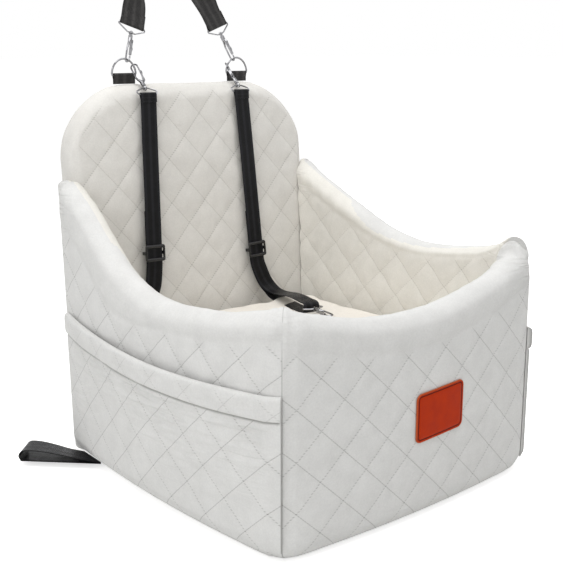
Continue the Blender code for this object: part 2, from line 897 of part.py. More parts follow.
def hook_body_mesh():
    top = hook["boss_place"] + boss["half"] + hook["float"]
    under = hook["boss_place"] - boss["half"] - hook["float"]
    collar_foot = under - hook["collar_height"]
    barrel_foot = collar_foot - hook["barrel_length"]
    step = hook["wire"] / 4
    bail, wire = hook["bail"], hook["wire"]
    profile = [
        ((0, top + hook["head_height"]), hook["head"] * 0.8),
        ((0, top + hook["head_height"] / 2), hook["head"]),
        ((0, top), hook["head"]),
        ((0, top - step / 2), hook["post"]),
        ((0, under + step / 2), hook["post"]),
        ((0, under), hook["collar"]),
        ((0, collar_foot), hook["collar"]),
        ((0, collar_foot - step), hook["barrel"]),
        ((0, barrel_foot), hook["barrel"]),
        ((bail * 0.2, barrel_foot - hook["neck_length"] * 0.27), hook["barrel"] * 0.78),
        ((bail * 0.7, barrel_foot - hook["neck_length"] * 0.65), (hook["barrel"] + hook["neck"]) * 0.36),
        ((bail, barrel_foot - hook["neck_length"]), hook["neck"]),
    ]
    for turn in arc(0.0, math.pi, 6):
        profile.append(((bail * math.cos(turn), bail - bail * math.sin(turn)), wire))
    profile.append(((-bail, bail + hook["nose"]), wire * 0.85))
    profile.append(((-bail + wire * 0.15, bail + hook["nose"] + wire), wire * 0.6))
    path, radii = [p for p, _ in profile], [r for _, r in profile]
    body = mesh_of("hook_body", *tube(path, radii, 8))
    x, z = hook_pivot()
    lug = hook["lug"]
    outline = [(x + lug * math.cos(t), z + lug * math.sin(t)) for t in arc(math.pi * 0.95, math.pi * 1.85, 6)]
    outline += [(-hook["barrel"] * 0.2, barrel_foot + lug / 2), (-hook["barrel"] * 0.8, barrel_foot + lug)]
    lug_mesh = mesh_of("lug", *plate(outline, -hook["lug_half"], hook["lug_half"]))
    hole = mesh_of("hole", *pin_shape(hook["pin_hole"], hook["lug_half"] * 3, (x, z)))
    return baked("hook_body", body, [(lug_mesh, "UNION"), (hole, "DIFFERENCE")])


def pin_shape(radius, half, centre=(0.0, 0.0)):
    circle = [(centre[0] + radius * math.cos(t), centre[1] + radius * math.sin(t)) for t in arc(0.0, 2 * math.pi, 10)[:-1]]
    return plate(circle, -half, half)


def gate_mesh():
    """The gate with its pivot at the origin, reaching down to the nose of the bail."""
    x, z = hook_pivot()
    lug, half = hook["lug"], hook["gate_half"]
    tip = hook["bail"] + hook["nose"] + hook["wire"] + gap - z
    lean_x = -hook["bail"] - x
    outline = [(lug * math.cos(t), lug * math.sin(t)) for t in arc(-0.1 * math.pi, 1.1 * math.pi, 7)]
    outline += [
        (-half + lean_x * 0.5, tip * 0.40),
        (-half - hook["thumb"] + lean_x * 0.7, tip * 0.58),
        (-half - hook["thumb"] + lean_x * 0.7, tip * 0.66),
        (-half + lean_x * 0.8, tip * 0.76),
        (-half + lean_x, tip),
        (half + lean_x, tip),
        (half + lean_x * 0.5, tip * 0.3),
    ]
    blank = mesh_of("gate", *plate(outline, -hook["gate_cheek"], hook["gate_cheek"]))
    slot_half = hook["lug_half"] + hook["fork_gap"]
    reach = lug + gap * 2
    slot_outline = [(-reach, -reach), (reach, -reach), (reach, reach), (-reach, reach)]
    slot = mesh_of("slot", *plate(slot_outline, -slot_half, slot_half))
    hole = mesh_of("hole", *pin_shape(hook["pin_hole"], hook["gate_cheek"] * 2))
    return baked("hook_gate", blank, [(slot, "DIFFERENCE"), (hole, "DIFFERENCE")])


def eye_mesh(name, sizes):
    """A wire eye with a boss for the hook's post at its foot and a bar for the webbing."""
    start = (boss["outer"] + boss["inner"]) / 2
    right = [
        (start, 0.0),
        (boss["outer"] * 2, eye_wire * 0.6),
        (sizes["shoulder"] - eye_wire * 0.6, sizes["shoulder_drop"] - eye_wire),
        (sizes["shoulder"], sizes["shoulder_drop"] + eye_wire * 0.7),
        (sizes["bar"], sizes["drop"]),
    ]
    path = right + [(-x, z) for x, z in reversed(right)]
    wire = mesh_of("wire", *tube(path, [eye_wire] * len(path), 7))
    rings = []
    sides = 10
    for radius, height in ((boss["inner"], -boss["half"]), (boss["outer"], -boss["half"]),
                           (boss["outer"], boss["half"]), (boss["inner"], boss["half"])):
        rings.append([np.array([radius * math.cos(t), radius * math.sin(t), height])
                      for t in arc(0.0, 2 * math.pi, sides)[:-1]])
    points = [p for ring in rings for p in ring]
    faces = []
    for i in range(4):
        for j in range(sides):
            k = (j + 1) % sides
            n = (i + 1) % 4
            faces.append((i * sides + j, n * sides + j, n * sides + k, i * sides + k))
    return baked(name, wire, [(mesh_of("boss", points, faces), "UNION")])


shared_body = hook_body_mesh()
shared_gate = gate_mesh()
shared_pin = mesh_of("gate_pin", *pin_shape(hook["pin"], hook["gate_cheek"] + gap))
eye_meshes = {"headrest": eye_mesh("headrest_eye", headrest_eye), "tether": eye_mesh("tether_eye", tether_eye)}


def snap_hook(name, bail_end, along, across, eye_kind):
    """A hook whose bail ends at a point and which runs along to its eye. Across is its flat side."""
    body_frame = frame_at(bail_end, along, across)
    place(f"{name}_body", shared_body, "chrome", body_frame)
    x, z = hook_pivot()
    pivot = body_frame @ Matrix.Translation((x, 0.0, z))
    place(f"{name}_gate", shared_gate, "chrome", pivot)
    place(f"{name}_gate_pin", shared_pin, "chrome", pivot)
    eye_frame = body_frame @ Matrix.Translation((0.0, 0.0, hook["boss_place"]))
    return eye_frame, eye_kind, name


def eye(name, origin, along, across, kind):
    place(f"{name}_eye", eye_meshes[kind], "chrome", frame_at(origin, along, across))


# Headrest strap and its two hooks

loop_up = np.array([0.0, math.sin(loop_lean), math.cos(loop_lean)])
loop_front = np.array([0.0, -math.cos(loop_lean), math.sin(loop_lean)])
contact_height = ring_bar_height + ring_radius * ring_stretch * math.cos(strand_angle)
contact_side = ring_spacing / 2 - ring_radius * math.sin(strand_angle)
loop_axis = np.array([0.0, ring_place, contact_height])
hook_seat = ring_wire + gap + hook["wire"]
eye_reach = hook["boss_place"] - hook_seat + headrest_eye["drop"]


def strand_direction(side):
    return unit(np.array([-side * math.sin(strand_angle), 0.0, 0.0]) + loop_up * math.cos(strand_angle))


def headrest_half():
    """Knots of the right half: point and width direction, from the flap's end to the apex."""
    along = strand_direction(1)
    wide = unit(np.array([math.cos(strand_angle), 0.0, 0.0]) + loop_up * math.sin(strand_angle))
    bar = loop_axis + np.array([contact_side, 0.0, 0.0]) + along * eye_reach
    round_bar = eye_wire + gap + web / 2
    layer = web + layer_gap
    path = [(bar + along * headrest_flap + loop_front * layer, wide)]
    path.append((bar + along * (round_bar * 3) + loop_front * layer, wide))
    for turn in arc(0.0, math.pi, 8):
        path.append((bar + loop_front * round_bar * math.cos(turn) - along * round_bar * math.sin(turn), wide))
    path.append((bar + along * (round_bar * 4), wide))
    path.append((bar + along * headrest_flap, wide))
    turned = math.tan(strand_angle)
    tangent = (contact_side - apex_radius / math.cos(strand_angle)) / turned + apex_radius * math.sin(strand_angle)
    first = float((bar + along * headrest_flap - loop_axis) @ loop_up)

    def at(x, height, twist):
        turn = math.pi / 2 * smooth_step(twist)
        direction = wide * math.cos(turn) + loop_front * math.sin(turn)
        return loop_axis + np.array([x, 0.0, 0.0]) + loop_up * height, direction

    twist_steps, apex_steps = 10, 6
    for step in range(1, twist_steps + 1):
        share = step / twist_steps
        height = first + (tangent - first) * share
        path.append(at(contact_side - height * turned, height, share * twist_reach))
    centre = tangent - apex_radius * math.sin(strand_angle)
    for turn in arc(strand_angle, math.pi / 2, apex_steps)[1:]:
        path.append(at(apex_radius * math.cos(turn), centre + apex_radius * math.sin(turn), 1.0))
    return path


def headrest_strap():
    half = headrest_half()
    apex = (half[-1][0] * np.array([0.0, 1.0, 1.0]), half[-1][1])
    flip = np.array([-1.0, 1.0, 1.0])
    other = [(p * flip, w * flip) for p, w in half[:-1]]
    path = half[:-1] + [apex] + other[::-1]
    return ribbon("headrest_strap", path, headrest_width, "ribbed_webbing", loop_axis, headrest_strips)


headrest_strap()
for word, side in (("left", -1), ("right", 1)):
    along = strand_direction(side)
    contact = loop_axis + np.array([side * contact_side, 0.0, 0.0])
    snap_hook(f"{word}_headrest_hook", contact - along * hook_seat, along, (0.0, 1.0, 0.0), "headrest")
    boss_centre = contact + along * (hook["boss_place"] - hook_seat)
    eye(f"{word}_headrest_hook", boss_centre, along, (1.0, 0.0, 0.0), "headrest")


# Tethers

def panel_face(height):
    """Y of the back panel's front face at a height."""
    return back_front + back_lean * (height / back_height) ** 2


tether_contact = np.array([ring_spacing / 2 - ring_radius * math.sin(tether_contact_angle), ring_place,
                           ring_bar_height + ring_radius * ring_stretch * math.cos(tether_contact_angle)])
tether_reach = hook["boss_place"] - tether_seat + tether_eye["drop"]
# Where the strap goes below the slider: to the side, forwards, and how high its two layers stand over the eye's bar.
fall_side = 0.0215
fall_side_shares = (0.20, 0.65, 0.95, 1.0, 0.85, 0.55, 0.30, 0.20)
fall_forward_shares = (0.005, 0.02, 0.09, 0.20, 0.37, 0.56, 0.75, 0.91)
fall_height = 0.0425
fall_height_shares = (1.0, 0.48, 0.175, 0.07, 0.105, 0.20, 0.235, 0.195)
fall_back_height_shares = (1.0, 0.455, 0.08, -0.14, -0.18, -0.18, -0.178, -0.177)
bight_side_share = 0.20
bight_radius = 0.0075
bight_place = 0.0688
bight_height = 0.1935
bight_turn = math.radians(-10.0)


def tether_points(side):
    contact = tether_contact * np.array([side, 1.0, 1.0])
    drop_height = math.sqrt(tether_reach ** 2 - tether_bar_drop ** 2 - tether_bar_side ** 2)
    bar = contact + np.array([side * tether_bar_side, -tether_bar_drop, -drop_height])
    height = slider_heights[side]
    slider_point = np.array([side * slider_spread, panel_face(height) - slider_face_gap, height])
    return contact, bar, slider_point


def fold_axes(side):
    """The upper eye's bar direction, and the way down and out from it."""
    contact, bar, slider_point = tether_points(side)
    along = unit(bar - contact)
    down = unit(slider_point - bar)
    wide = unit(np.array([1.0, 0.0, 0.0]) - along * along[0])
    down = unit(down - wide * float(down @ wide))
    return wide, down, np.cross(down, wide)


def lower_bar(side):
    """The middle of the lower eye's bar, the way the lower hook points, and the bar's direction."""
    _, _, slider_point = tether_points(side)
    x = slider_point[0] + side * fall_side * bight_side_share
    bight_wide = np.array([math.cos(side * bight_turn), math.sin(side * bight_turn), 0.0])
    away = np.array([bight_wide[1], -bight_wide[0], 0.0])
    return np.array([x, bight_place, bight_height]), away, bight_wide


def tether_strap(name, side):
    contact, bar, slider_point = tether_points(side)
    fold_wide, fold_down, fold_front = fold_axes(side)
    down = unit(slider_point - bar)
    wide = unit(np.array([1.0, 0.0, 0.0]) - down * down[0])
    front = np.cross(down, wide)
    round_bar = eye_wire + gap + web / 2
    layer = web + layer_gap
    path = [(bar + fold_down * tether_flap + fold_front * layer, fold_wide),
            (bar + fold_down * (round_bar * 3) + fold_front * layer, fold_wide)]
    for turn in arc(0.0, math.pi, 8):
        path.append((bar + fold_front * round_bar * math.cos(turn) - fold_down * round_bar * math.sin(turn), fold_wide))
    path.append((bar + fold_down * (round_bar * 4), fold_wide))
    straight_end = float((slider_point - bar) @ down) + slider["half_length"] + slider["bar"]
    path.append((bar + down * straight_end * 0.3, wide))
    start = bar + down * straight_end
    path.append((start, wide))
    eye_bar, away, bight_wide = lower_bar(side)
    knots = [np.concatenate([bar + down * (straight_end - slider["half_length"]), wide]), np.concatenate([start, wide])]
    back_knots = []
    tail_offset = -front * layer
    for number, share in enumerate(fall_forward_shares):
        blend = smooth_step(number / (len(fall_forward_shares) - 1))
        direction = unit(wide * (1 - blend) + bight_wide * blend)
        x = slider_point[0] + side * fall_side * fall_side_shares[number]
        y = start[1] - (start[1] - eye_bar[1]) * share
        knots.append(np.array([x, y, eye_bar[2] + fall_height * fall_height_shares[number], *direction]))
        pushed = layer * (1 - blend)
        back_height_here = eye_bar[2] + fall_height * fall_back_height_shares[number]
        back_knots.append(np.array([x, y + pushed, back_height_here, *direction]))
    upright = np.array([0.0, 0.0, 1.0])
    bight_centre = eye_bar - away * (bight_radius - round_bar)

    def bight(turn):
        point = bight_centre + (away * math.cos(turn) + upright * math.sin(turn)) * bight_radius
        return np.concatenate([point, bight_wide])

    wrap = math.radians(85)
    front_curve = curve_through([*knots, bight(wrap)], 3)[3:]
    back_start = np.concatenate([start + tail_offset, wide])
    back_above = np.concatenate([start + tail_offset - down * slider["half_length"], wide])
    back_curve = curve_through([back_above, back_start, *back_knots, bight(-wrap)], 3)[3:]
    path += [(k[:3], k[3:]) for k in front_curve[1:]]
    path += [(bight(t)[:3], bight_wide) for t in arc(wrap, -wrap, 6)[1:-1]]
    path += [(k[:3], k[3:]) for k in back_curve[::-1]]
    path.append((bar + down * (straight_end - tail_length) + tail_offset, wide))
    return ribbon(name, path, tether_width, "webbing", contact)


def slider_buckle(name, side):
    """A plastic slide buckle: a frame in front of both layers and a bar behind them."""
    contact, bar, slider_point = tether_points(side)
    down = unit(slider_point - bar)
    wide = unit(np.array([1.0, 0.0, 0.0]) - down * down[0])
    s = slider
    inside = tether_width / 2 + s["clearance"]
    outside = inside + s["rail"]
    front_low = web / 2 + s["clearance"]
    front_high = front_low + s["thickness"]
    back_high = -(web * 1.5 + layer_gap + s["clearance"])
    back_low = back_high - s["thickness"]
    length, c = s["half_length"], s["corner"]

    def cut_corner(x, z, cut):
        return [(x - cut, -z), (x, -z + cut), (x, z - cut), (x - cut, z), (-x + cut, z), (-x, z - cut), (-x, -z + cut),
                (-x + cut, -z)]

    outer = cut_corner(outside, length, c)
    window = cut_corner(inside, length - s["bar"], c / 4)
    rings = [[(x, y, z) for x, z in ring] for ring, y in
             ((outer, front_high), (outer, front_low), (window, front_low), (window, front_high))]
    points = [p for ring in rings for p in ring]
    faces = []
    for i in range(4):
        for j in range(8):
            k, n = (j + 1) % 8, (i + 1) % 4
            faces.append((i * 8 + j, n * 8 + j, n * 8 + k, i * 8 + k))
    frame = mesh_of("frame", points, faces)
    level = front_high - c / 4
    bow = [(-outside, level), (-inside, level), (-inside, back_high), (inside, back_high),
           (inside, level), (outside, level), (outside, back_low), (-outside, back_low)]
    rings = [[(x, y, z) for x, y in bow] for z in (-s["middle_bar"], s["middle_bar"])]
    mesh = baked(name, frame, [(mesh_of("bow", *loft(rings)), "UNION")])
    place(name, mesh, "black_plastic", frame_at(slider_point, down, wide))


for word, side in (("left", -1), ("right", 1)):
    contact, bar, _ = tether_points(side)
    along = unit(bar - contact)
    tangent = np.array([side * math.cos(tether_contact_angle), 0.0, math.sin(tether_contact_angle)])
    normal = unit(tangent - along * float(tangent @ along))
    snap_hook(f"{word}_tether_upper_hook", contact - along * tether_seat, along, np.cross(normal, along) * side, "tether")
    eye(f"{word}_tether_upper_hook", bar - along * tether_eye["drop"], along, (1.0, 0.0, 0.0), "tether")
    tether_strap(f"{word}_tether_strap", side)
    slider_buckle(f"{word}_tether_slider", side)
    eye_bar, away, bight_wide = lower_bar(side)
    boss_centre = eye_bar + away * tether_eye["drop"]
    bail_end = boss_centre + away * hook["boss_place"]
    snap_hook(f"{word}_tether_lower_hook", bail_end, -away, bight_wide, "tether")
    eye(f"{word}_tether_lower_hook", boss_centre, -away, bight_wide, "tether")


# Anchor loops at floor level
# Each point: how far out, as a share of the reach, and its height, as a share of the loop's height.
anchor_low_shares = (0.0, 0.35, 0.75, 0.90, 0.97)
anchor_bight_shares = ((0.985, 0.15), (1.0, 0.45), (0.975, 0.80), (0.90, 1.0))
anchor_top_shares = ((0.70, 0.93), (0.47, 0.66), (0.28, 0.38), (0.13, 0.225))


def anchor_loop(name, side):
    """A folded strap that leaves the wall's lower edge at an angle, cut to lie along the wall."""
    outward = np.array([math.sqrt(0.5), math.sqrt(0.5), 0.0])
    wide = np.array([math.sqrt(0.5), -math.sqrt(0.5), 0.0]) * (anchor_width / 2)
    low = web / 2 + layer_gap / 4
    knots = [(share, low) for share in anchor_low_shares]
    knots += [(share, low + (anchor_height - low) * height) for share, height in anchor_bight_shares]
    knots += [(share, low + (anchor_height - low) * height) for share, height in anchor_top_shares]
    knots.append((0.0, low + web + layer_gap))
    path = curve_through([np.array([share * anchor_reach, height]) for share, height in knots], 2)
    edges = []
    for edge in (1, -1):
        start_y = anchor_root[1] - edge * anchor_width * math.sqrt(0.5)
        start_x = anchor_root[0] - (start_y - anchor_root[1]) * anchor_root_slope
        first = float((np.array([start_x - anchor_root[0], start_y - anchor_root[1], 0.0]) - wide * edge) @ outward)
        edges.append((edge, first))
    rings = []
    for i, (reach, height) in enumerate(path):
        before, after = path[max(i - 1, 0)], path[min(i + 1, len(path) - 1)]
        tangent = unit(after - before)
        face = np.array([*(outward[:2] * -tangent[1]), tangent[0]]) * (web / 2)
        ring = []
        for edge, first in edges:
            along = first + reach * (1.0 - first / anchor_reach)
            middle = np.array([*anchor_root, anchor_seam + height]) + wide * edge + outward * along
            ring.append((middle + face, middle - face))
        ring = [ring[0][0], ring[1][0], ring[1][1], ring[0][1]]
        rings.append([p * np.array([side, 1.0, 1.0]) for p in ring])
    return solid(name, *loft(rings), "webbing")


anchor_loop("left_anchor_loop", -1)
anchor_loop("right_anchor_loop", 1)
print("built", len([o for o in bpy.data.objects if not o.hide_render]), "pieces")
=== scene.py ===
import math

import bmesh
import bpy
import numpy as np
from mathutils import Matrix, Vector

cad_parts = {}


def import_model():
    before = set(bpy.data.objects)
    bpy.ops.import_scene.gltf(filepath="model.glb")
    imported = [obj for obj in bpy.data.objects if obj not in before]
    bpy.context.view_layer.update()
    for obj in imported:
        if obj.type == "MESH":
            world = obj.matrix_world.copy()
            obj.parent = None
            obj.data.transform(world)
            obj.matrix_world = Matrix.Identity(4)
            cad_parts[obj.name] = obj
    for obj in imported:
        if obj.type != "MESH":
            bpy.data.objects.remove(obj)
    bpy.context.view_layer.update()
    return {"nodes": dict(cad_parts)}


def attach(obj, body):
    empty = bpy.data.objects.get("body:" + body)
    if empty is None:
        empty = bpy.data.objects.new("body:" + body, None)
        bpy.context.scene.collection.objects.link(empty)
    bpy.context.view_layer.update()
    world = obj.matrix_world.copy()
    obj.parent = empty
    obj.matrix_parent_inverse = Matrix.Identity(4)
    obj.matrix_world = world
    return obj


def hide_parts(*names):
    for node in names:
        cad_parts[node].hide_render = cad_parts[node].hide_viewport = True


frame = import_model()
scene = bpy.context.scene
print("frame loaded")


def linked(thing):
    scene.collection.objects.link(thing)
    return thing


def feed(tree, node, inputs):
    for key, value in inputs.items():
        if isinstance(value, bpy.types.NodeSocket):
            tree.links.new(value, node.inputs[key])
        else:
            node.inputs[key].default_value = value


def addNode(tree, kind, inputs=None, **settings):
    made = tree.nodes.new(kind)
    for key, value in settings.items():
        setattr(made, key, value)
    feed(tree, made, inputs or {})
    return made


def calc(tree, operation, a, b=None, clamp=False):
    inputs = {0: a} if b is None else {0: a, 1: b}
    return addNode(tree, "ShaderNodeMath", inputs, operation=operation, use_clamp=clamp).outputs[0]


def times(tree, a, b, clamp=False):
    return calc(tree, "MULTIPLY", a, b, clamp)


def plus(tree, a, b, clamp=False):
    return calc(tree, "ADD", a, b, clamp)


def minus(tree, a, b, clamp=False):
    return calc(tree, "SUBTRACT", a, b, clamp)


# Camera: turn and rise in degrees, lens and sensor in mm
view = {"place": (-0.8994, -1.058, 0.5857), "turn": -39.86, "rise": 13.14, "lens": 64.69, "sensor": 36.0}
turn, rise = math.radians(view["turn"]), math.radians(view["rise"])
backwards = Vector((math.sin(turn) * math.cos(rise), -math.cos(turn) * math.cos(rise), math.sin(rise)))
cameraData = bpy.data.cameras.new("camera")
cameraData.lens = view["lens"]
cameraData.sensor_width = view["sensor"]
camera = linked(bpy.data.objects.new("camera", cameraData))
camera.rotation_euler = backwards.to_track_quat("Z", "Y").to_euler()
camera.location = view["place"]
scene.camera = camera
scene.view_settings.view_transform = "Standard"

lamps = {
    "overhead": {"place": (0.0, -0.1, 2.4), "aim": (0.0, 0.0, 0.2), "size": 2.0, "power": 31.0},
    "frontLeft": {"place": (-2.3, -0.9, 1.5), "aim": (0.0, 0.0, 0.25), "size": 1.6, "power": 18.0},
    "frontRight": {"place": (1.3, -2.2, 1.2), "aim": (0.0, 0.0, 0.25), "size": 1.6, "power": 1.5},
    "behind": {"place": (0.6, 2.2, 1.5), "aim": (0.0, 0.0, 0.3), "size": 1.6, "power": 7.0},
}
for lampName, lamp in lamps.items():
    lampData = bpy.data.lights.new(lampName, "AREA")
    lampData.shape = "SQUARE"
    lampData.size = lamp["size"]
    lampData.energy = lamp["power"]
    lampObject = linked(bpy.data.objects.new(lampName, lampData))
    lampObject.location = lamp["place"]
    reach = Vector(lamp["place"]) - Vector(lamp["aim"])
    lampObject.rotation_euler = reach.to_track_quat("Z", "Y").to_euler()


def sees(tree):
    path = tree.nodes.new("ShaderNodeLightPath").outputs
    first = calc(tree, "MAXIMUM", path["Is Camera Ray"], path["Is Glossy Ray"])
    return calc(tree, "MAXIMUM", first, path["Is Transmission Ray"])


# The sky and the floor look white, and light the seat less than white would.
sky = {"light": 0.50, "seen": 1.0, "colour": (1, 1, 1, 1)}
scene.world = bpy.data.worlds.new("studio")
scene.world.use_nodes = True
skyTree = scene.world.node_tree
skyTree.nodes.clear()
glows = [addNode(skyTree, "ShaderNodeBackground", {"Color": sky["colour"], "Strength": sky[key]}).outputs[0]
         for key in ("light", "seen")]
mixed = addNode(skyTree, "ShaderNodeMixShader", {0: sees(skyTree), 1: glows[0], 2: glows[1]})
addNode(skyTree, "ShaderNodeOutputWorld", {"Surface": mixed.outputs[0]})

floorLook = {"half": 40.0, "level": -0.0002, "colour": (0.82, 0.82, 0.81, 1), "lift": 0.63}
half, level = floorLook["half"], floorLook["level"]
floorMesh = bpy.data.meshes.new("floor")
floorMesh.from_pydata([(x, y, level) for x, y in ((-half, -half), (half, -half), (half, half), (-half, half))],
                      [], [(0, 1, 2, 3)])
floorPiece = linked(bpy.data.objects.new("floor", floorMesh))
floorMaterial = bpy.data.materials.new("floor")
floorMaterial.use_nodes = True
floorTree = floorMaterial.node_tree
floorTree.nodes.clear()
base = addNode(floorTree, "ShaderNodeBsdfDiffuse", {"Color": floorLook["colour"]})
glow = addNode(floorTree, "ShaderNodeEmission", {"Strength": times(floorTree, sees(floorTree), floorLook["lift"])})
total = addNode(floorTree, "ShaderNodeAddShader", {0: base.outputs[0], 1: glow.outputs[0]})
addNode(floorTree, "ShaderNodeOutputMaterial", {"Surface": total.outputs[0]})
floorMesh.materials.append(floorMaterial)
print("studio ready")


# Materials
def newGroup(name, inputs, outputs):
    group = bpy.data.node_groups.new(name, "ShaderNodeTree")
    for socketName, value in inputs.items():
        kind = "NodeSocketVector" if value is None else "NodeSocketFloat"
        socket = group.interface.new_socket(socketName, in_out="INPUT", socket_type=kind)
        if value is not None:
            socket.default_value = value
    for socketName in outputs:
        group.interface.new_socket(socketName, in_out="OUTPUT", socket_type="NodeSocketFloat")
    return group, group.nodes.new("NodeGroupInput").outputs, group.nodes.new("NodeGroupOutput")


def noiseOf(tree, place, scale, detail, rough, **more):
    inputs = {"Vector": place, "Scale": scale, "Detail": detail, "Roughness": rough, **more}
    return addNode(tree, "ShaderNodeTexNoise", inputs).outputs[0]


def ranged(tree, value, low, high, start, end, **settings):
    return addNode(tree, "ShaderNodeMapRange", {0: value, 1: low, 2: high, 3: start, 4: end}, **settings).outputs[0]


def scaledBy(tree, vector, factors):
    return addNode(tree, "ShaderNodeVectorMath", {0: vector, 1: factors}, operation="MULTIPLY").outputs[0]


def mixColours(tree, share, first, second, way="MIX"):
    inputs = {0: share, 6: first, 7: second}
    return addNode(tree, "ShaderNodeMix", inputs, data_type="RGBA", blend_type=way).outputs[2]


# The quilting's two sets of slanting stitch lines: one is pressed in, the other shows as stitch holes. Both give
# painted shade as well as a bump.
lineLooks = {"otherWidth": 1.7, "gap": 0.52, "between": 0.62}


def buildQuiltLines():
    group, given, result = newGroup(
        "quiltLines",
        {"Map": None, "Cell Width": 0.067, "Cell Height": 0.063, "Line Width": 0.0008, "Stitch Length": 0.0029},
        ("Crease", "Holes", "Near"))
    parts = addNode(group, "ShaderNodeSeparateXYZ", {0: given["Map"]}).outputs
    across = calc(group, "DIVIDE", parts[0], given["Cell Width"])
    up = calc(group, "DIVIDE", parts[1], given["Cell Height"])
    both = times(group, given["Cell Width"], given["Cell Height"])
    squares = [calc(group, "POWER", given[key], 2.0) for key in ("Cell Width", "Cell Height")]
    spread = calc(group, "DIVIDE", both, calc(group, "SQRT", plus(group, *squares)))
    lines = []
    for operation in ("ADD", "SUBTRACT"):
        share = calc(group, "FRACT", plus(group, calc(group, operation, across, up), 0.5))
        lines.append(times(group, calc(group, "ABSOLUTE", minus(group, share, 0.5)), spread))
    crease = minus(group, 1.0, calc(group, "DIVIDE", lines[0], given["Line Width"]), True)
    otherWidth = times(group, given["Line Width"], lineLooks["otherWidth"])
    other = minus(group, 1.0, calc(group, "DIVIDE", lines[1], otherWidth), True)
    run = calc(group, "FRACT", calc(group, "DIVIDE", parts[1], given["Stitch Length"]))
    dash = calc(group, "GREATER_THAN", run, lineLooks["gap"])
    feed(group, result, {
        "Crease": times(group, crease, ranged(group, dash, 0.0, 1.0, lineLooks["between"], 1.0)),
        "Holes": times(group, other, dash),
        "Near": calc(group, "MINIMUM", lines[0], lines[1]),
    })
    return group


weaveLook = {"halfTurn": 3.14159, "woven": 0.25, "slubs": (0.35, 2.0, 0.6), "mottle": (5.0, 0.62), "pill": (3.0, 0.7)}


def buildWeave():
    group, given, result = newGroup(
        "weave", {"Place": None, "Threads Per Metre": 1400.0, "Mottle Scale": 34.0, "Pill Scale": 420.0},
        ("Height", "Mottle", "Pill"))
    inputs = {0: given["Place"], "Scale": given["Threads Per Metre"]}
    scaled = addNode(group, "ShaderNodeVectorMath", inputs, operation="SCALE").outputs[0]
    parts = addNode(group, "ShaderNodeSeparateXYZ", {0: scaled}).outputs
    threads = [calc(group, "SINE", times(group, parts[axis], weaveLook["halfTurn"])) for axis in range(3)]
    woven = plus(group, times(group, threads[0], threads[2]), times(group, threads[1], threads[2]))
    feed(group, result, {
        "Height": plus(group, times(group, woven, weaveLook["woven"]), noiseOf(group, scaled, *weaveLook["slubs"])),
        "Mottle": noiseOf(group, given["Place"], given["Mottle Scale"], *weaveLook["mottle"]),
        "Pill": noiseOf(group, given["Place"], given["Pill Scale"], *weaveLook["pill"]),
    })
    return group


quiltLines = buildQuiltLines()
weave = buildWeave()


def startMaterial(name):
    material = bpy.data.materials.new(name)
    material.use_nodes = True
    tree = material.node_tree
    place = tree.nodes.new("ShaderNodeTexCoord").outputs["Object"]
    return material, tree, tree.nodes["Principled BSDF"], place


def bumped(tree, height, strength):
    return addNode(tree, "ShaderNodeBump", {"Height": height, "Strength": strength, "Distance": 1.0}).outputs[0]


def attributeOf(tree, word):
    return addNode(tree, "ShaderNodeAttribute", attribute_name=word).outputs["Fac"]


def mapOf(tree, word):
    return addNode(tree, "ShaderNodeUVMap", uv_map=word).outputs[0]


quilting = {"wall": (0.067, 0.063), "back": (0.061, 0.066), "round": 0.0075, "knot": 0.009, "knotDeep": 0.25,
            "high": 0.45}
# Each cloth has two tones that vary at random, and a dark "seam" colour that is painted shade: it darkens quilting
# creases, stitch holes, seams and wrinkles. "crease" and "holes" say how strongly the painted shade shows in each set
# of lines.
clothLooks = {
    "quiltedCloth": {
        "light": (0.80, 0.797, 0.782, 1), "dark": (0.75, 0.747, 0.732, 1), "seam": (0.30, 0.295, 0.285, 1),
        "cell": quilting["wall"], "crease": 0.66, "holes": 0.55, "turned": 1.0},
    "liningCloth": {
        "light": (0.88, 0.86, 0.805, 1), "dark": (0.83, 0.81, 0.755, 1), "seam": (0.34, 0.315, 0.28, 1),
        "cell": quilting["wall"], "crease": 0.55, "holes": 0.30, "turned": -1.0},
    "backCloth": {
        "light": (0.82, 0.803, 0.765, 1), "dark": (0.775, 0.757, 0.72, 1), "seam": (0.36, 0.34, 0.31, 1),
        "cell": quilting["back"], "crease": 0.45, "holes": 0.6, "turned": 1.0},
    "cushionCloth": {
        "light": (0.88, 0.835, 0.765, 1), "dark": (0.83, 0.785, 0.715, 1), "seam": (0.42, 0.39, 0.35, 1),
        "cell": None},
}
clothFinish = {
    "weave": 0.00016, "pill": 0.925, "bump": 0.6, "rough": 0.92, "specular": 0.18, "sheen": 0.12, "sheenRough": 0.5,
    "pucker": 0.0011, "puckerScale": 190.0, "puckerReach": 0.012, "stitchDeep": 0.0005, "seamShadeLevel": 0.9,
    "foldScale": (9.0, 9.0, 62.0), "foldWidth": 0.07, "foldDeep": 0.0016, "foldShade": 0.10,
}


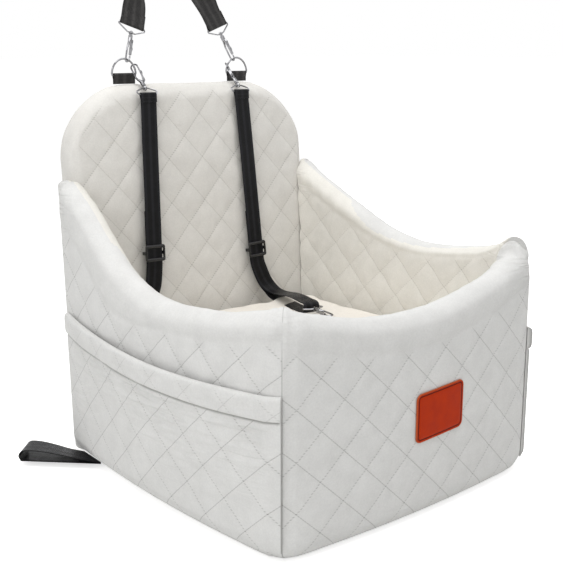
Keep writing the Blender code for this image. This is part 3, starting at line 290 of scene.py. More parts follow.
def buildCloth(name, look):
    material, tree, shader, place = startMaterial(name)
    threads = addNode(tree, "ShaderNodeGroup", {"Place": place}, node_tree=weave).outputs
    colour = mixColours(tree, ranged(tree, threads["Mottle"], 0.35, 0.65, 0.0, 1.0), look["dark"], look["light"])
    pill = ranged(tree, threads["Pill"], 0.3, 0.7, clothFinish["pill"], 1.0)
    colour = mixColours(tree, 1.0, colour, pill, "MULTIPLY")
    height = times(tree, threads["Height"], clothFinish["weave"])
    if look["cell"]:
        inputs = {"Map": scaledBy(tree, mapOf(tree, "quiltMap"), (look["turned"], 1.0, 1.0)),
                  "Cell Width": look["cell"][0], "Cell Height": look["cell"][1]}
        lines = addNode(tree, "ShaderNodeGroup", inputs, node_tree=quiltLines).outputs
        shown = attributeOf(tree, "quilted")
        crease, holes = times(tree, lines["Crease"], shown), times(tree, lines["Holes"], shown)
        # painted shade: the pressed-in lines and the stitch holes darken towards the dark colour, as shade in those
        # recesses
        creaseShade = plus(tree, times(tree, crease, look["crease"]), times(tree, holes, look["holes"]), True)
        colour = mixColours(tree, creaseShade, colour, look["seam"])
        close = ranged(tree, lines["Near"], 0.0, clothFinish["puckerReach"], 1.0, 0.0)
        pucker = times(tree, noiseOf(tree, place, clothFinish["puckerScale"], 2.0, 0.5), close)
        height = plus(tree, height, times(tree, times(tree, pucker, shown), clothFinish["pucker"]))
        sunk = [times(tree, mark, clothFinish["stitchDeep"]) for mark in (crease, holes)]
        height = minus(tree, height, plus(tree, *sunk))
    # painted shade: the cloth darkens towards the dark colour where the seam attribute marks a seam's groove
    seamShade = times(tree, attributeOf(tree, "seamShade"), clothFinish["seamShadeLevel"], True)
    colour = mixColours(tree, seamShade, colour, look["seam"])
    # wrinkle creases: a narrow ridge mask sinks the bump and darkens the colour with painted shade
    folds = noiseOf(tree, scaledBy(tree, place, clothFinish["foldScale"]), 1.0, 2.0, 0.55, Distortion=0.5)
    ridge = ranged(tree, calc(tree, "ABSOLUTE", minus(tree, folds, 0.5)), 0.0, clothFinish["foldWidth"], 1.0, 0.0,
                   interpolation_type="SMOOTHSTEP")
    fold = times(tree, ridge, attributeOf(tree, "wrinkled"))
    height = minus(tree, height, times(tree, fold, clothFinish["foldDeep"]))
    feed(tree, shader, {
        "Base Color": mixColours(tree, times(tree, fold, clothFinish["foldShade"], True), colour, look["seam"]),
        "Normal": bumped(tree, height, clothFinish["bump"]),
        "Roughness": clothFinish["rough"], "Specular IOR Level": clothFinish["specular"],
        "Sheen Weight": clothFinish["sheen"], "Sheen Roughness": clothFinish["sheenRough"],
    })
    return material


# Each webbing: its dark colour, and a lighter colour that stands partly for wear on the rib tops and partly for painted
# satin highlight. "glint" is how strongly the painted lengthwise highlight stripes show.
webbingLooks = {
    "tetherWebbing": {
        "colour": (0.0030, 0.0030, 0.0035, 1), "wornAndSheen": (0.016, 0.016, 0.019, 1), "rough": 0.34, "cord": 0.0012,
        "weave": 0.00009, "shine": 0.13, "sheenStripe": 0.0115, "glint": 0.8},
    "handleWebbing": {
        "colour": (0.016, 0.0153, 0.0152, 1), "wornAndSheen": (0.060, 0.057, 0.056, 1), "rough": 0.42, "cord": 0.0024,
        "weave": 0.00012, "shine": 0.20, "sheenStripe": 0.0135, "glint": 0.55},
}
webbingFinish = {"twill": 5200.0, "twillDeep": 0.00004, "wear": 90.0, "wornAndSheen": 0.7, "smoother": 0.06, "rougher": 0.1,
                 "bump": 0.7}


def buildWebbing(name, look):
    material, tree, shader, place = startMaterial(name)
    parts = addNode(tree, "ShaderNodeSeparateXYZ", {0: mapOf(tree, "strapMap")}).outputs
    ribs = calc(tree, "SINE", times(tree, parts[0], 2 * math.pi / look["cord"]))
    twill = calc(tree, "SINE", times(tree, plus(tree, parts[0], parts[1]), webbingFinish["twill"]))
    noise = noiseOf(tree, place, webbingFinish["wear"], 4.0, 0.6)
    # the rib tops lighten in noisy patches, partly as wear and partly as painted highlight
    high = times(tree, plus(tree, ribs, 1.0), 0.5)
    share = times(tree, ranged(tree, noise, 0.35, 0.75, 0.0, webbingFinish["wornAndSheen"]), high)
    # painted highlight: soft lengthwise satin sheen stripes lighten the colour across the strap
    sheenStripe = calc(tree, "COSINE", times(tree, parts[0], 2 * math.pi / look["sheenStripe"]))
    share = plus(tree, share, ranged(tree, sheenStripe, -0.2, 1.0, 0.0, look["glint"]), True)
    smooth, rough = look["rough"] - webbingFinish["smoother"], look["rough"] + webbingFinish["rougher"]
    height = plus(tree, times(tree, ribs, look["weave"]), times(tree, twill, webbingFinish["twillDeep"]))
    feed(tree, shader, {
        "Base Color": mixColours(tree, share, look["colour"], look["wornAndSheen"]),
        "Roughness": ranged(tree, noise, 0.3, 0.7, smooth, rough),
        "Normal": bumped(tree, height, webbingFinish["bump"]), "Specular IOR Level": look["shine"],
    })
    return material


# Materials whose colour and roughness follow one noise, and whose bump follows the noise or small cells
grainLooks = {
    "platedMetal": {
        "noise": (260.0, 4.0, 0.6), "colours": ((0.20, 0.20, 0.21, 1), (0.36, 0.36, 0.37, 1)), "tint": (0.3, 0.7),
        "rough": (0.3, 0.75, 0.08, 0.22), "deep": 0.00006, "bump": 0.4, "shader": {"Metallic": 1.0}},
    "mouldedPlastic": {
        "noise": (700.0, 3.0, 0.6), "colours": ((0.005, 0.005, 0.006, 1), (0.011, 0.011, 0.012, 1)),
        "rough": (0.3, 0.7, 0.16, 0.28), "deep": 0.00003, "bump": 0.5},
    "patchLeather": {"colours": ((0.42, 0.026, 0.002, 1), (0.50, 0.036, 0.003, 1))},
    "patchEdge": {"colours": ((0.50, 0.10, 0.03, 1), (0.50, 0.10, 0.03, 1))},
    "patchPressed": {"colours": ((0.13, 0.010, 0.002, 1), (0.13, 0.010, 0.002, 1))},
    "paleThread": {"colours": ((0.385, 0.378, 0.357, 1), (0.55, 0.54, 0.51, 1))},
    "blackThread": {"colours": ((0.021, 0.021, 0.0224, 1), (0.03, 0.03, 0.032, 1))},
    "openFoam": {
        "cells": 700.0, "cellTint": (0.0, 0.6), "colours": ((0.62, 0.56, 0.36, 1), (0.90, 0.86, 0.64, 1)),
        "deep": 0.0005, "bump": 0.6, "shader": {"Roughness": 0.95}},
}
leatherLook = {"noise": (60.0, 5.0, 0.6), "cells": 900.0, "tint": (0.3, 0.7), "rough": (0.3, 0.7, 0.42, 0.58),
               "deep": 0.00016, "bump": 0.6, "shader": {"Specular IOR Level": 0.07}}
threadLook = {"noise": (1500.0, 2.0, 0.6), "deep": 0.0001, "bump": 0.5, "shader": {"Roughness": 0.8}}
for name in grainLooks:
    if name.startswith("patch"):
        grainLooks[name].update(leatherLook)
    if name.endswith("Thread"):
        grainLooks[name].update(threadLook)


def buildGrain(name, look):
    material, tree, shader, place = startMaterial(name)
    noise = noiseOf(tree, place, *look["noise"]) if "noise" in look else None
    cells = None
    if "cells" in look:
        cells = addNode(tree, "ShaderNodeTexVoronoi", {"Vector": place, "Scale": look["cells"]}).outputs[0]
    share = noise
    if "tint" in look:
        share = ranged(tree, noise, *look["tint"], 0.0, 1.0)
    if "cellTint" in look:
        share = ranged(tree, cells, *look["cellTint"], 0.0, 1.0)
    if "rough" in look:
        feed(tree, shader, {"Roughness": ranged(tree, noise, *look["rough"])})
    height = times(tree, noise if cells is None else cells, look["deep"])
    feed(tree, shader, {"Base Color": mixColours(tree, share, *look["colours"]),
                        "Normal": bumped(tree, height, look["bump"]), **look.get("shader", {})})
    return material


cloths = {name: buildCloth(name, look) for name, look in clothLooks.items()}
webbings = {name: buildWebbing(name, look) for name, look in webbingLooks.items()}
grains = {name: buildGrain(name, look) for name, look in grainLooks.items()}
metal = grains["platedMetal"]
print("materials ready")


# The tub's sizes, as in the frame
tub = {
    "halfWidth": 0.225, "halfDepth": 0.250, "wall": 0.038, "backHeight": 0.530, "backWall": 0.047,
    "lift": 0.0006, "panel": 0.0026, "gap": 0.0003, "footRadius": 0.024,
    "sideRimLow": 0.2925, "frontRimLow": 0.272, "cornerRim": 0.313, "rearRim": 0.415, "sideLow": -0.105,
    "sideBow": 0.0205, "sideBowLength": 0.530, "frontBow": 0.013, "sideBulge": 0.006, "frontBulge": 0.003,
    "cornerPull": 0.005, "backHalf": 0.215, "backCorner": 0.018, "shoulderWide": 0.1165, "shoulderHigh": 0.115,
    "lean": 0.027, "leanStart": 0.080, "leanLength": 0.120, "tailGap": 0.0012, "tailThick": 0.0070, "tailDrop": 0.008,
}
innerSide = tub["halfWidth"] - tub["wall"]
innerFront = -tub["halfDepth"] + tub["wall"]
backFront = tub["halfDepth"] - tub["backWall"]
wallFoot = tub["wall"] - tub["footRadius"]


def smoothStep(share):
    share = np.clip(share, 0.0, 1.0)
    return share * share * (3.0 - 2.0 * share)


def unit(vector):
    vector = np.array(vector, float)
    return vector / np.linalg.norm(vector)


def sideBowAt(y):
    return tub["sideBow"] * max(0.0, math.sin(math.pi * (y + tub["halfDepth"]) / tub["sideBowLength"])) ** 0.7


def frontBowAt(x):
    return tub["frontBow"] * max(0.0, math.cos(math.pi * x / (2 * tub["halfWidth"]))) ** 0.8


def sideRimAt(y):
    if y < tub["sideLow"]:
        depth = (tub["halfDepth"] - innerFront - tub["cornerPull"]) / 2
        share = (tub["sideLow"] - y) / (tub["sideLow"] + depth)
        return tub["sideRimLow"] + (tub["cornerRim"] - tub["sideRimLow"]) * share ** 1.7
    share = (y - tub["sideLow"]) / (tub["halfDepth"] - tub["backWall"] / 2 - tub["sideLow"])
    return tub["sideRimLow"] + (tub["rearRim"] - tub["sideRimLow"]) * share ** 1.9


def frontRimAt(x):
    corner = (tub["halfWidth"] + innerSide - tub["cornerPull"]) / 2
    return tub["frontRimLow"] + (tub["cornerRim"] - tub["frontRimLow"]) * (abs(x) / corner) ** 2.2


# The real rims aren't level: how far each stands above or below the even form, from one end to the other.
rimTilt = {
    "left": ((-0.25, -0.009), (-0.16, -0.0114), (-0.10, -0.0125), (-0.04, -0.022), (0.02, -0.027), (0.07, -0.026),
             (0.12, -0.012), (0.16, 0.0), (0.22, 0.0)),
    "right": ((-0.25, 0.0235), (-0.20, 0.014), (-0.12, 0.0107), (-0.04, 0.0006), (0.03, -0.0036), (0.12, -0.0016),
              (0.20, 0.0)),
    "front": ((-0.23, -0.009), (-0.144, -0.0061), (-0.067, -0.0030), (0.009, 0.0002), (0.085, 0.0042),
              (0.162, 0.0062), (0.20, 0.0150), (0.23, 0.0235)),
}


def tiltAt(side, place):
    at, tilt = np.array(rimTilt[side]).T
    slope = np.gradient(tilt, at)
    place = float(np.clip(place, at[0], at[-1]))
    i = int(np.clip(np.searchsorted(at, place) - 1, 0, len(at) - 2))
    wide = at[i + 1] - at[i]
    t = (place - at[i]) / wide
    held = tilt[i] * (2 * t ** 3 - 3 * t ** 2 + 1) + tilt[i + 1] * (3 * t ** 2 - 2 * t ** 3)
    return float(held + wide * (slope[i] * (t ** 3 - 2 * t ** 2 + t) + slope[i + 1] * (t ** 3 - t ** 2)))


# A wall is lofted through cuts: inner foot, outer foot, top, width of the foot, bulge.
def cut(inner, outer, top, foot, bulge):
    return [inner[0], inner[1], outer[0], outer[1], top, foot, bulge]


def between(first, second, steps):
    first, second = np.array(first), np.array(second)
    return [list(first + (second - first) * step / steps) for step in range(1, steps)]


cornerShares = (0.02, 0.05, 0.10, 0.18, 0.30, 0.46, 0.64, 0.82)


def fromCorner(corner, near):
    corner, near = np.array(corner), np.array(near)
    return [list(corner + (near - corner) * share) for share in cornerShares]


wallCuts = {"side": 118, "front": 108, "back": 60, "tail": 13, "frontReach": 0.160, "nearFoot": 1.22, "shift": 0.75}


def sideCuts(side):
    word = "right" if side > 0 else "left"
    wall, pull, gap, shift = tub["wall"], tub["cornerPull"], tub["gap"], tub["gap"] * wallCuts["shift"]

    def bulgeAt(y):
        turned = math.pi * (y + tub["halfDepth"]) / (2 * tub["halfDepth"])
        return tub["sideBulge"] * max(0.0, math.sin(turned)) ** 0.9

    corner = cut((innerSide, innerFront + shift), (tub["halfWidth"] - pull, -tub["halfDepth"] + pull + shift),
                 tub["cornerRim"] + tiltAt(word, -0.25), math.sqrt(2) * wallFoot, 0.0)
    y1, y2 = innerFront + wall / 4, -tub["halfDepth"] + wall * 0.6
    middle = (y1 + y2) / 2
    near = cut((innerSide + sideBowAt(y1), y1), (tub["halfWidth"] + sideBowAt(y2) - pull / 6, y2),
               sideRimAt(middle) + tiltAt(word, middle), wallFoot * wallCuts["nearFoot"], bulgeAt(middle))
    start, end = innerFront + wall / 2, backFront - gap * 4
    straight = []
    for y in np.linspace(start + (end - start) * 0.06, end, wallCuts["side"]):
        bow = sideBowAt(y)
        straight.append(cut((innerSide + bow, y), (tub["halfWidth"] + bow, y), sideRimAt(y) + tiltAt(word, y),
                            wallFoot, bulgeAt(y)))
    cuts = [corner, *fromCorner(corner, near), near, *between(near, straight[0], 4), *straight]
    # the tail runs round the back panel's corner
    centre = (tub["backHalf"] - tub["backCorner"], backFront + tub["backCorner"])
    reach = tub["backCorner"] + tub["tailGap"]
    for number, turnHere in enumerate(np.linspace(15, 75, wallCuts["tail"])):
        share = number / (wallCuts["tail"] - 1)
        t = math.radians(turnHere)
        inner = (centre[0] + reach * math.sin(t), centre[1] - reach * math.cos(t))
        full = tub["halfWidth"] + sideBowAt(inner[1])
        outer = (full + (inner[0] + tub["tailThick"] - tub["halfWidth"]) * share, inner[1] + gap * 4)
        middle = (inner[1] + outer[1]) / 2
        drop = tub["tailDrop"] * float(np.interp(turnHere, (15, 35, 55, 75), (0.0, 0.15, 0.5, 1.0)))
        cuts.append(cut(inner, outer, sideRimAt(middle) - drop, math.dist(inner, outer) * 0.4, bulgeAt(middle)))
    cuts = np.array(cuts)
    cuts[:, [0, 2]] *= side
    return cuts


def frontCuts():
    wall, pull, shift = tub["wall"], tub["cornerPull"], tub["gap"] * wallCuts["shift"]

    def plain(x):
        bow = frontBowAt(x)
        bulge = tub["frontBulge"] * max(0.0, math.cos(math.pi * x / (2 * tub["halfWidth"]))) ** 0.9
        top = frontRimAt(x) + tiltAt("front", x)
        return cut((x, innerFront - bow), (x, -tub["halfDepth"] - bow), top, wallFoot, bulge)

    def ends(side):
        x, out = innerSide - wall / 4, tub["halfWidth"] - wall * 0.6
        near = plain(side * x)
        outer = (side * out, -tub["halfDepth"] - frontBowAt(out) + pull / 6)
        near = cut((side * x, innerFront - frontBowAt(x)), outer, near[4], wallFoot * wallCuts["nearFoot"], near[6] / 2)
        outer = (side * (tub["halfWidth"] - pull - shift), -tub["halfDepth"] + pull)
        corner = cut((side * (innerSide - shift), innerFront), outer,
                     tub["cornerRim"] + tiltAt("front", side * 0.23), math.sqrt(2) * wallFoot, 0.0)
        return near, corner

    reach = wallCuts["frontReach"]
    straight = [plain(x) for x in np.linspace(-reach, reach, wallCuts["front"])]
    nearLeft, cornerLeft = ends(-1)
    nearRight, cornerRight = ends(1)
    return np.array([cornerLeft, *fromCorner(cornerLeft, nearLeft), nearLeft, *between(nearLeft, straight[0], 4),
                     *straight, *between(straight[-1], nearRight, 4), nearRight,
                     *fromCorner(cornerRight, nearRight)[::-1], cornerRight])


def backRimAt(x):
    flat = tub["backHalf"] + tub["gap"] * 5 - tub["shoulderWide"]
    over = (abs(x) - flat) / tub["shoulderWide"]
    if over <= 0.0:
        return tub["backHeight"]
    return tub["backHeight"] - tub["shoulderHigh"] * (1.0 - math.sqrt(1.0 - min(over, 1.0) ** 2))


def backCuts():
    corner = tub["backCorner"]
    flat = tub["backHalf"] - corner

    def plain(x, drawn):
        thick = tub["backWall"] - 2 * drawn
        straightFoot = tub["backWall"] - tub["footRadius"]
        foot = straightFoot + (thick * 0.4 - straightFoot) * min(drawn / 0.004, 1.0)
        return cut((x, backFront + drawn), (x, tub["halfDepth"] - drawn), backRimAt(x), foot, 0.0)

    half = [plain(x, 0.0) for x in np.linspace(0.0, flat, wallCuts["back"])[1:]]
    for t in np.radians(np.linspace(6, 75, 12)):
        half.append(plain(flat + corner * math.sin(t), corner * (1 - math.cos(t))))
    mirror = np.array(half[::-1])
    mirror[:, [0, 2]] *= -1
    return np.concatenate([mirror, [plain(0.0, 0.0)], half])


def leaned(points):
    share = smoothStep((points[..., 1] - tub["leanStart"]) / tub["leanLength"])
    points = points.copy()
    points[..., 1] += tub["lean"] * (points[..., 2] / tub["backHeight"]) ** 2 * share
    return points


rounds = {"rim": 26, "foot": 8}  # steps round a wall's top and its outer foot


def wallSurface(cuts, insideLevels, outsideLevels):
    inner, outer = cuts[:, 0:2], cuts[:, 2:4]
    top, foot, bulge = cuts[:, 4], cuts[:, 5], cuts[:, 6]
    width = np.linalg.norm(outer - inner, axis=1)
    across = (outer - inner) / width[:, None]
    half = width / 2
    radius = width - foot
    seat = tub["panel"] + tub["gap"]
    spring = top - half
    bend = tub["lift"] + radius
    sides, heights, zones = [], [], []

    def add(side, height, zone):
        sides.append(side)
        heights.append(height)
        zones.append(zone)

    for share in insideLevels:
        add(-half, seat + (spring - seat) * share, "inside")
    for step in range(rounds["rim"] + 1):
        t = math.pi * (1.0 - step / rounds["rim"])
        add(half * math.cos(t), spring + half * math.sin(t), "rim")
    for share in outsideLevels:
        add(half, bend + (spring - bend) * share, "outside")
    for step in range(rounds["foot"] + 1):
        t = -math.pi / 2 * step / rounds["foot"]
        add(half - radius + radius * math.cos(t), bend + radius * math.sin(t), "foot")
    side, height = np.array(sides).T, np.array(heights).T
    share = np.clip((height - tub["lift"]) / (top[:, None] - tub["lift"]), 0.0, 1.0)
    side = side + bulge[:, None] * np.sin(math.pi * share) ** 0.8 * np.maximum(0.0, side / half[:, None])
    plan = ((inner + outer) / 2)[:, None, :] + across[:, None, :] * side[:, :, None]
    points = leaned(np.concatenate([plan, height[:, :, None]], axis=2))
    return {"points": points, "height": height, "side": side, "top": top, "half": half, "zones": zones}


def runOf(cuts):
    steps = np.linalg.norm(np.diff((cuts[:, 0:2] + cuts[:, 2:4]) / 2, axis=0), axis=1)
    return np.concatenate([[0.0], np.cumsum(steps)])


def facing(points, cuts, zones):
    # the surface's normals, turned to point out of the wall
    normal = np.cross(np.gradient(points, axis=0), np.gradient(points, axis=1))
    normal = normal / np.maximum(np.linalg.norm(normal, axis=2, keepdims=True), 1e-12)
    row, column = len(cuts) // 2, zones.index("outside") + 20
    out = np.array([*(cuts[row, 2:4] - cuts[row, 0:2]), 0.0])
    flip = float((normal[row, column] * out).sum()) < 0
    return (-normal if flip else normal), flip


def waves(x, y, z, scale, seed, octaves=3):
    maker = np.random.default_rng(seed)
    total = np.zeros(np.broadcast(x, y, z).shape)
    size = 1.0
    for octave in range(octaves):
        for _ in range(6):
            direction = maker.normal(size=3)
            direction /= np.linalg.norm(direction)
            phase = maker.uniform(0, 2 * math.pi)
            place = x * direction[0] + y * direction[1] + z * direction[2]
            total += size * np.sin(place * 2 * math.pi * 2 ** octave / scale + phase)
        size *= 0.55
    return total / 6.0


def puff(s, h, cell=quilting["wall"]):
    wide, high = cell
    spread = wide * high / math.hypot(wide, high)
    lines = []
    for sign in (1.0, -1.0):
        value = s / wide + sign * h / high
        lines.append(np.abs((value + 0.5) % 1.0 - 0.5) * spread)
    near, both = np.minimum(*lines), np.maximum(*lines)
    knots = quilting["knotDeep"] * np.exp(-both / quilting["knot"])
    return quilting["high"] - np.exp(-near / quilting["round"]) - knots


def gridMesh(name, points, maps, shares, flip=False, seams=None, folds=None):
    rows, columns = points.shape[:2]
    mesh = bpy.data.meshes.new(name)
    i, j = np.meshgrid(np.arange(rows - 1), np.arange(columns), indexing="ij")
    k = (j + 1) % columns
    faces = [i * columns + j, (i + 1) * columns + j, (i + 1) * columns + k, i * columns + k]
    faces = np.stack(faces, axis=-1).reshape(-1, 4)
    first = list(range(columns))
    last = [(rows - 1) * columns + n for n in range(columns)]
    if flip:
        faces, first, last = faces[:, ::-1], first[::-1], last[::-1]
    mesh.from_pydata(points.reshape(-1, 3).tolist(), [], [*faces.tolist(), first, last[::-1]])
    addMap(mesh, "quiltMap", maps.reshape(-1, 2))
    # the cloth's attributes: where it is quilted, where painted shade darkens a seam, and where wrinkles crease it
    for word, values in (("quilted", shares), ("seamShade", seams), ("wrinkled", folds)):
        if values is not None:
            attribute = mesh.attributes.new(word, "FLOAT", "POINT")
            attribute.data.foreach_set("value", values.reshape(-1).astype(np.float32))
    mesh.shade_smooth()
    return mesh


def addMap(mesh, word, pairs):
    layer = mesh.uv_layers.new(name=word)
    loops = np.zeros(len(mesh.loops), np.int64)
    mesh.loops.foreach_get("vertex_index", loops)
    layer.data.foreach_set("uv", pairs[loops].astype(np.float32).ravel())


def pieceOf(name, mesh, materials):
    for material in materials:
        mesh.materials.append(material)
    return linked(bpy.data.objects.new(name, mesh))


sharpAbove = {"cloth": math.radians(58), "plastic": math.radians(50), "metal": math.radians(38)}


def outwards(mesh):
    work = bmesh.new()
    work.from_mesh(mesh)
    bmesh.ops.triangulate(work, faces=[f for f in work.faces if len(f.verts) > 4])
    bmesh.ops.recalc_face_normals(work, faces=work.faces)
    work.to_mesh(mesh)
    work.free()
    mesh.set_sharp_from_angle(angle=sharpAbove["cloth"])


pocketEdge = {"low": 0.2008, "frontRise": 0.0085, "rearRise": 0.0200, "middle": -0.045, "foot": 0.018}


def pocketEdgeAt(y):
    y = np.asarray(y, float)
    front = (pocketEdge["middle"] - y) / (tub["halfDepth"] + pocketEdge["middle"])
    rear = (y - pocketEdge["middle"]) / (tub["halfDepth"] - pocketEdge["middle"])
    frontRise = pocketEdge["frontRise"] * np.maximum(front, 0) ** 2
    rearRise = pocketEdge["rearRise"] * np.maximum(rear, 0) ** 1.7
    return pocketEdge["low"] + np.where(y < pocketEdge["middle"], frontRise, rearRise)


patch = {"wide": 0.087, "high": 0.0635, "round": 0.008, "skew": 0.045, "place": (0.0200, 0.1400)}

# A band stays unquilted below the rim: (place, width) along the wall. The first seam is at mapStart.
sideBands = {
    "outBand": ((-0.25, 0.032), (-0.04, 0.030), (0.03, 0.045), (0.08, 0.058), (0.15, 0.062), (0.20, 0.056)),
    "inBand": ((-0.25, 0.013), (-0.15, 0.013), (-0.05, 0.016), (0.03, 0.022), (0.10, 0.028), (0.20, 0.030)),
    "mapStart": 0.230, "outPuff": 0.0020, "roll": 0.0022,
}
wallLooks = {
    "front_wall": {
        "cuts": frontCuts(), "outBand": ((-0.2, 0.040), (0.2, 0.043)), "inBand": ((-0.2, 0.026), (0.2, 0.026)),
        "outPuff": 0.0020, "inPuff": 0.0018, "roll": 0.0020, "mapStart": 0.2035, "start": 0.0005, "rise": 0.0,
        "seed": 3, "replaces": ("front_wall_cover", "front_wall_foam")},
    "left_wall": {
        **sideBands, "cuts": sideCuts(-1), "inPuff": 0.0018, "start": 0.0233, "rise": 0.012,
        "seed": 5, "replaces": ("left_wall_cover", "left_wall_foam")},
    "right_wall": {
        **sideBands, "cuts": sideCuts(1), "inPuff": 0.0022, "start": 0.010, "rise": 0.010,
        "seed": 7, "replaces": ("right_wall_cover", "right_wall_foam")},
}
insideLevels = np.concatenate([[0.0, 0.2, 0.4], np.linspace(0.52, 1.0, 44)[:-1]])
outsideLevels = np.linspace(1.0, 0.0, 92)[1:-1]
# Lengths in metres: how deep each form is, how far apart it repeats, and how far it reaches from its seam.
wallCloth = {
    "fade": 0.010, "rollStart": 0.006, "rollInside": 0.6, "tuck": 0.0005, "tuckWide": 0.0045,
    "uneven": 0.0011, "unevenSpan": 0.11, "fine": 0.00035, "fineSpan": 0.021,
    "hang": 0.0011, "hangApart": 0.031, "hangSlant": 0.30, "hangDrift": 2.2,
    "gather": 0.0011, "gatherRight": 0.0016, "gatherApart": 0.0105, "gatherReach": 0.030,
    "tail": 0.0022, "tailApart": 0.008, "tailReach": 0.022,
    "pinch": 0.0022, "pinchRight": 0.0058, "pinchReach": 0.0085, "pinchHigh": 0.060,
    "groove": 0.0005, "grooveWide": 0.0007, "calmEnd": 0.006, "calmFoot": 0.022, "foot": 0.004,
    "pressedPatch": 0.0004, "patchReach": 0.007, "pressedPocket": 0.0003, "cushionTop": 0.176,
    "seamShadeLevel": 0.8, "seamShadeWide": 0.00032, "creases": 1.3, "creasesReach": 0.026, "tailCreases": 1.6,
    "liningLap": 0.012, "liningClimb": 0.034, "climbFrom": 0.04, "climbOver": 0.14,
}


def dressWall(name, look):
    cuts, front, cloth = look["cuts"], name == "front_wall", wallCloth
    made = wallSurface(cuts, insideLevels, outsideLevels)
    points, height, side, top = made["points"], made["height"], made["side"], made["top"][:, None]
    s = np.repeat(runOf(cuts)[:, None], points.shape[1], axis=1)
    toBack = s[-1, 0] - s
    ends = np.minimum(s, toBack)
    toFront = ends if front else s
    normal, flip = facing(points, cuts, made["zones"])
    outside = side > 0
    x, y, z = points[..., 0], points[..., 1], points[..., 2]
    level = x if front else y
    rightEnd = (x > 0).astype(float)

    def uneven(span, turned, octaves=3):
        return waves(x, y, z, span, look["seed"] + turned, octaves)

    # quilting below the band, and the padded roll above it
    band = np.where(outside, *(np.interp(level, *np.array(look[key]).T) for key in ("outBand", "inBand")))
    edge = top - band
    nearTop = smoothStep((height - edge + 0.02) / 0.03)
    quilted = smoothStep((edge - height) / cloth["fade"])
    mapU, mapV = level + look["mapStart"] + look["start"], height + look["rise"]
    total = np.where(outside, look["outPuff"], look["inPuff"]) * quilted * puff(mapU, mapV)
    share = np.clip((height - edge) / np.maximum(band - cloth["rollStart"], 1e-4), 0.0, 1.0)
    total += look["roll"] * np.sin(math.pi * share ** 0.8) * np.where(outside, 1.0, cloth["rollInside"])
    total -= cloth["tuck"] * np.exp(-((height - edge) / cloth["tuckWide"]) ** 2)
    # cloth that isn't quite even, with hanging folds inside
    total += cloth["uneven"] * uneven(cloth["unevenSpan"], 0) * smoothStep((height - 0.03) / 0.06)
    total += cloth["fine"] * uneven(cloth["fineSpan"], 1, 2) * smoothStep((height - 0.02) / 0.04)
    slanted = (level + cloth["hangSlant"] * height) / cloth["hangApart"]
    hanging = cloth["hang"] * np.sin(2 * math.pi * slanted + cloth["hangDrift"] * uneven(0.12, 6, 1))
    hanging *= np.clip(0.6 + 0.8 * uneven(0.2, 8, 1), 0.0, 1.2) * smoothStep((top - height) / 0.02)
    total += np.where(outside, 0.0, hanging)
    # gathers by the seams
    deep = cloth["gather"] + cloth["gatherRight"] * rightEnd
    gathers = np.sin(2 * math.pi * (s / cloth["gatherApart"] + 0.8 * uneven(0.05, 2, 1)))
    total += deep * gathers * np.exp(-toFront / cloth["gatherReach"]) * nearTop
    if not front:
        gathers = np.sin(2 * math.pi * (s / cloth["tailApart"] + 0.6 * uneven(0.04, 4, 1)))
        total += cloth["tail"] * gathers * np.exp(-toBack / cloth["tailReach"]) * nearTop
    pinched = (cloth["pinch"] + cloth["pinchRight"] * rightEnd) * np.exp(-toFront / cloth["pinchReach"])
    pinched *= smoothStep((height - top + cloth["pinchHigh"]) / 0.04) * (1.0 - np.abs(normal[..., 2]) ** 2)
    total *= smoothStep(ends / cloth["calmEnd"])
    total -= cloth["groove"] * np.exp(-ends / cloth["grooveWide"])
    total -= pinched
    total *= smoothStep((height - cloth["foot"]) / cloth["calmFoot"])
    # flat under the patch, behind the pockets and below the cushion's top
    if front:
        toPatch = np.maximum(np.abs(x - patch["place"][0]) - patch["wide"] / 2,
                             np.abs(z - patch["place"][1]) - patch["high"] / 2)
        under, pressed = 1.0 - smoothStep((toPatch - 0.0005) / cloth["patchReach"]), cloth["pressedPatch"]
    else:
        under, pressed = smoothStep((pocketEdgeAt(y) - 0.004 - height) / 0.010), cloth["pressedPocket"]
    total = np.where(outside, total * (1.0 - under) - pressed * under, total)
    under = smoothStep((cloth["cushionTop"] - height) / 0.012)
    total = np.where(outside, total, total * (1.0 - under))
    points = points + normal * total[..., None]

    # painted shade along the corner seams: a thin dark line, faded near the foot and lighter at the right end
    seams = cloth["seamShadeLevel"] * np.exp(-(toFront / cloth["seamShadeWide"]) ** 2)
    seams *= smoothStep((height - cloth["foot"]) / 0.010) * (1.0 - 0.55 * rightEnd)
    # where wrinkle creases show, with their painted shade, near the front seams and towards the back
    folds = cloth["creases"] * np.exp(-toFront / cloth["creasesReach"]) * nearTop
    folds *= (0.25 + 0.75 * rightEnd) * smoothStep(toFront / 0.001)
    if not front:
        folds += cloth["tailCreases"] * np.exp(-toBack / 0.020) * smoothStep((height - edge + 0.03) / 0.03)
    mesh = gridMesh(name + "_dress", points, np.stack([mapU, mapV], axis=-1), quilted, flip, seams, folds)
    outwards(mesh)
    piece = pieceOf(name + "_dress", mesh, [cloths["quiltedCloth"], cloths["liningCloth"]])
    # the lining laps over the band, and climbs to the crest towards the back
    climb = 0.0 if front else cloth["liningClimb"] * smoothStep((level - cloth["climbFrom"]) / cloth["climbOver"])
    lined = (~outside & (height < edge + cloth["liningLap"] + climb)).reshape(-1)
    inLining = [int(sum(lined[v] for v in face.vertices) > len(face.vertices) / 2) for face in mesh.polygons]
    mesh.polygons.foreach_set("material_index", inLining)
    return piece


for wallName, look in wallLooks.items():
    wall = dressWall(wallName, look)
    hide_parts(*look["replaces"])
    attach(wall, "seat")
    print(wallName, "dressed")


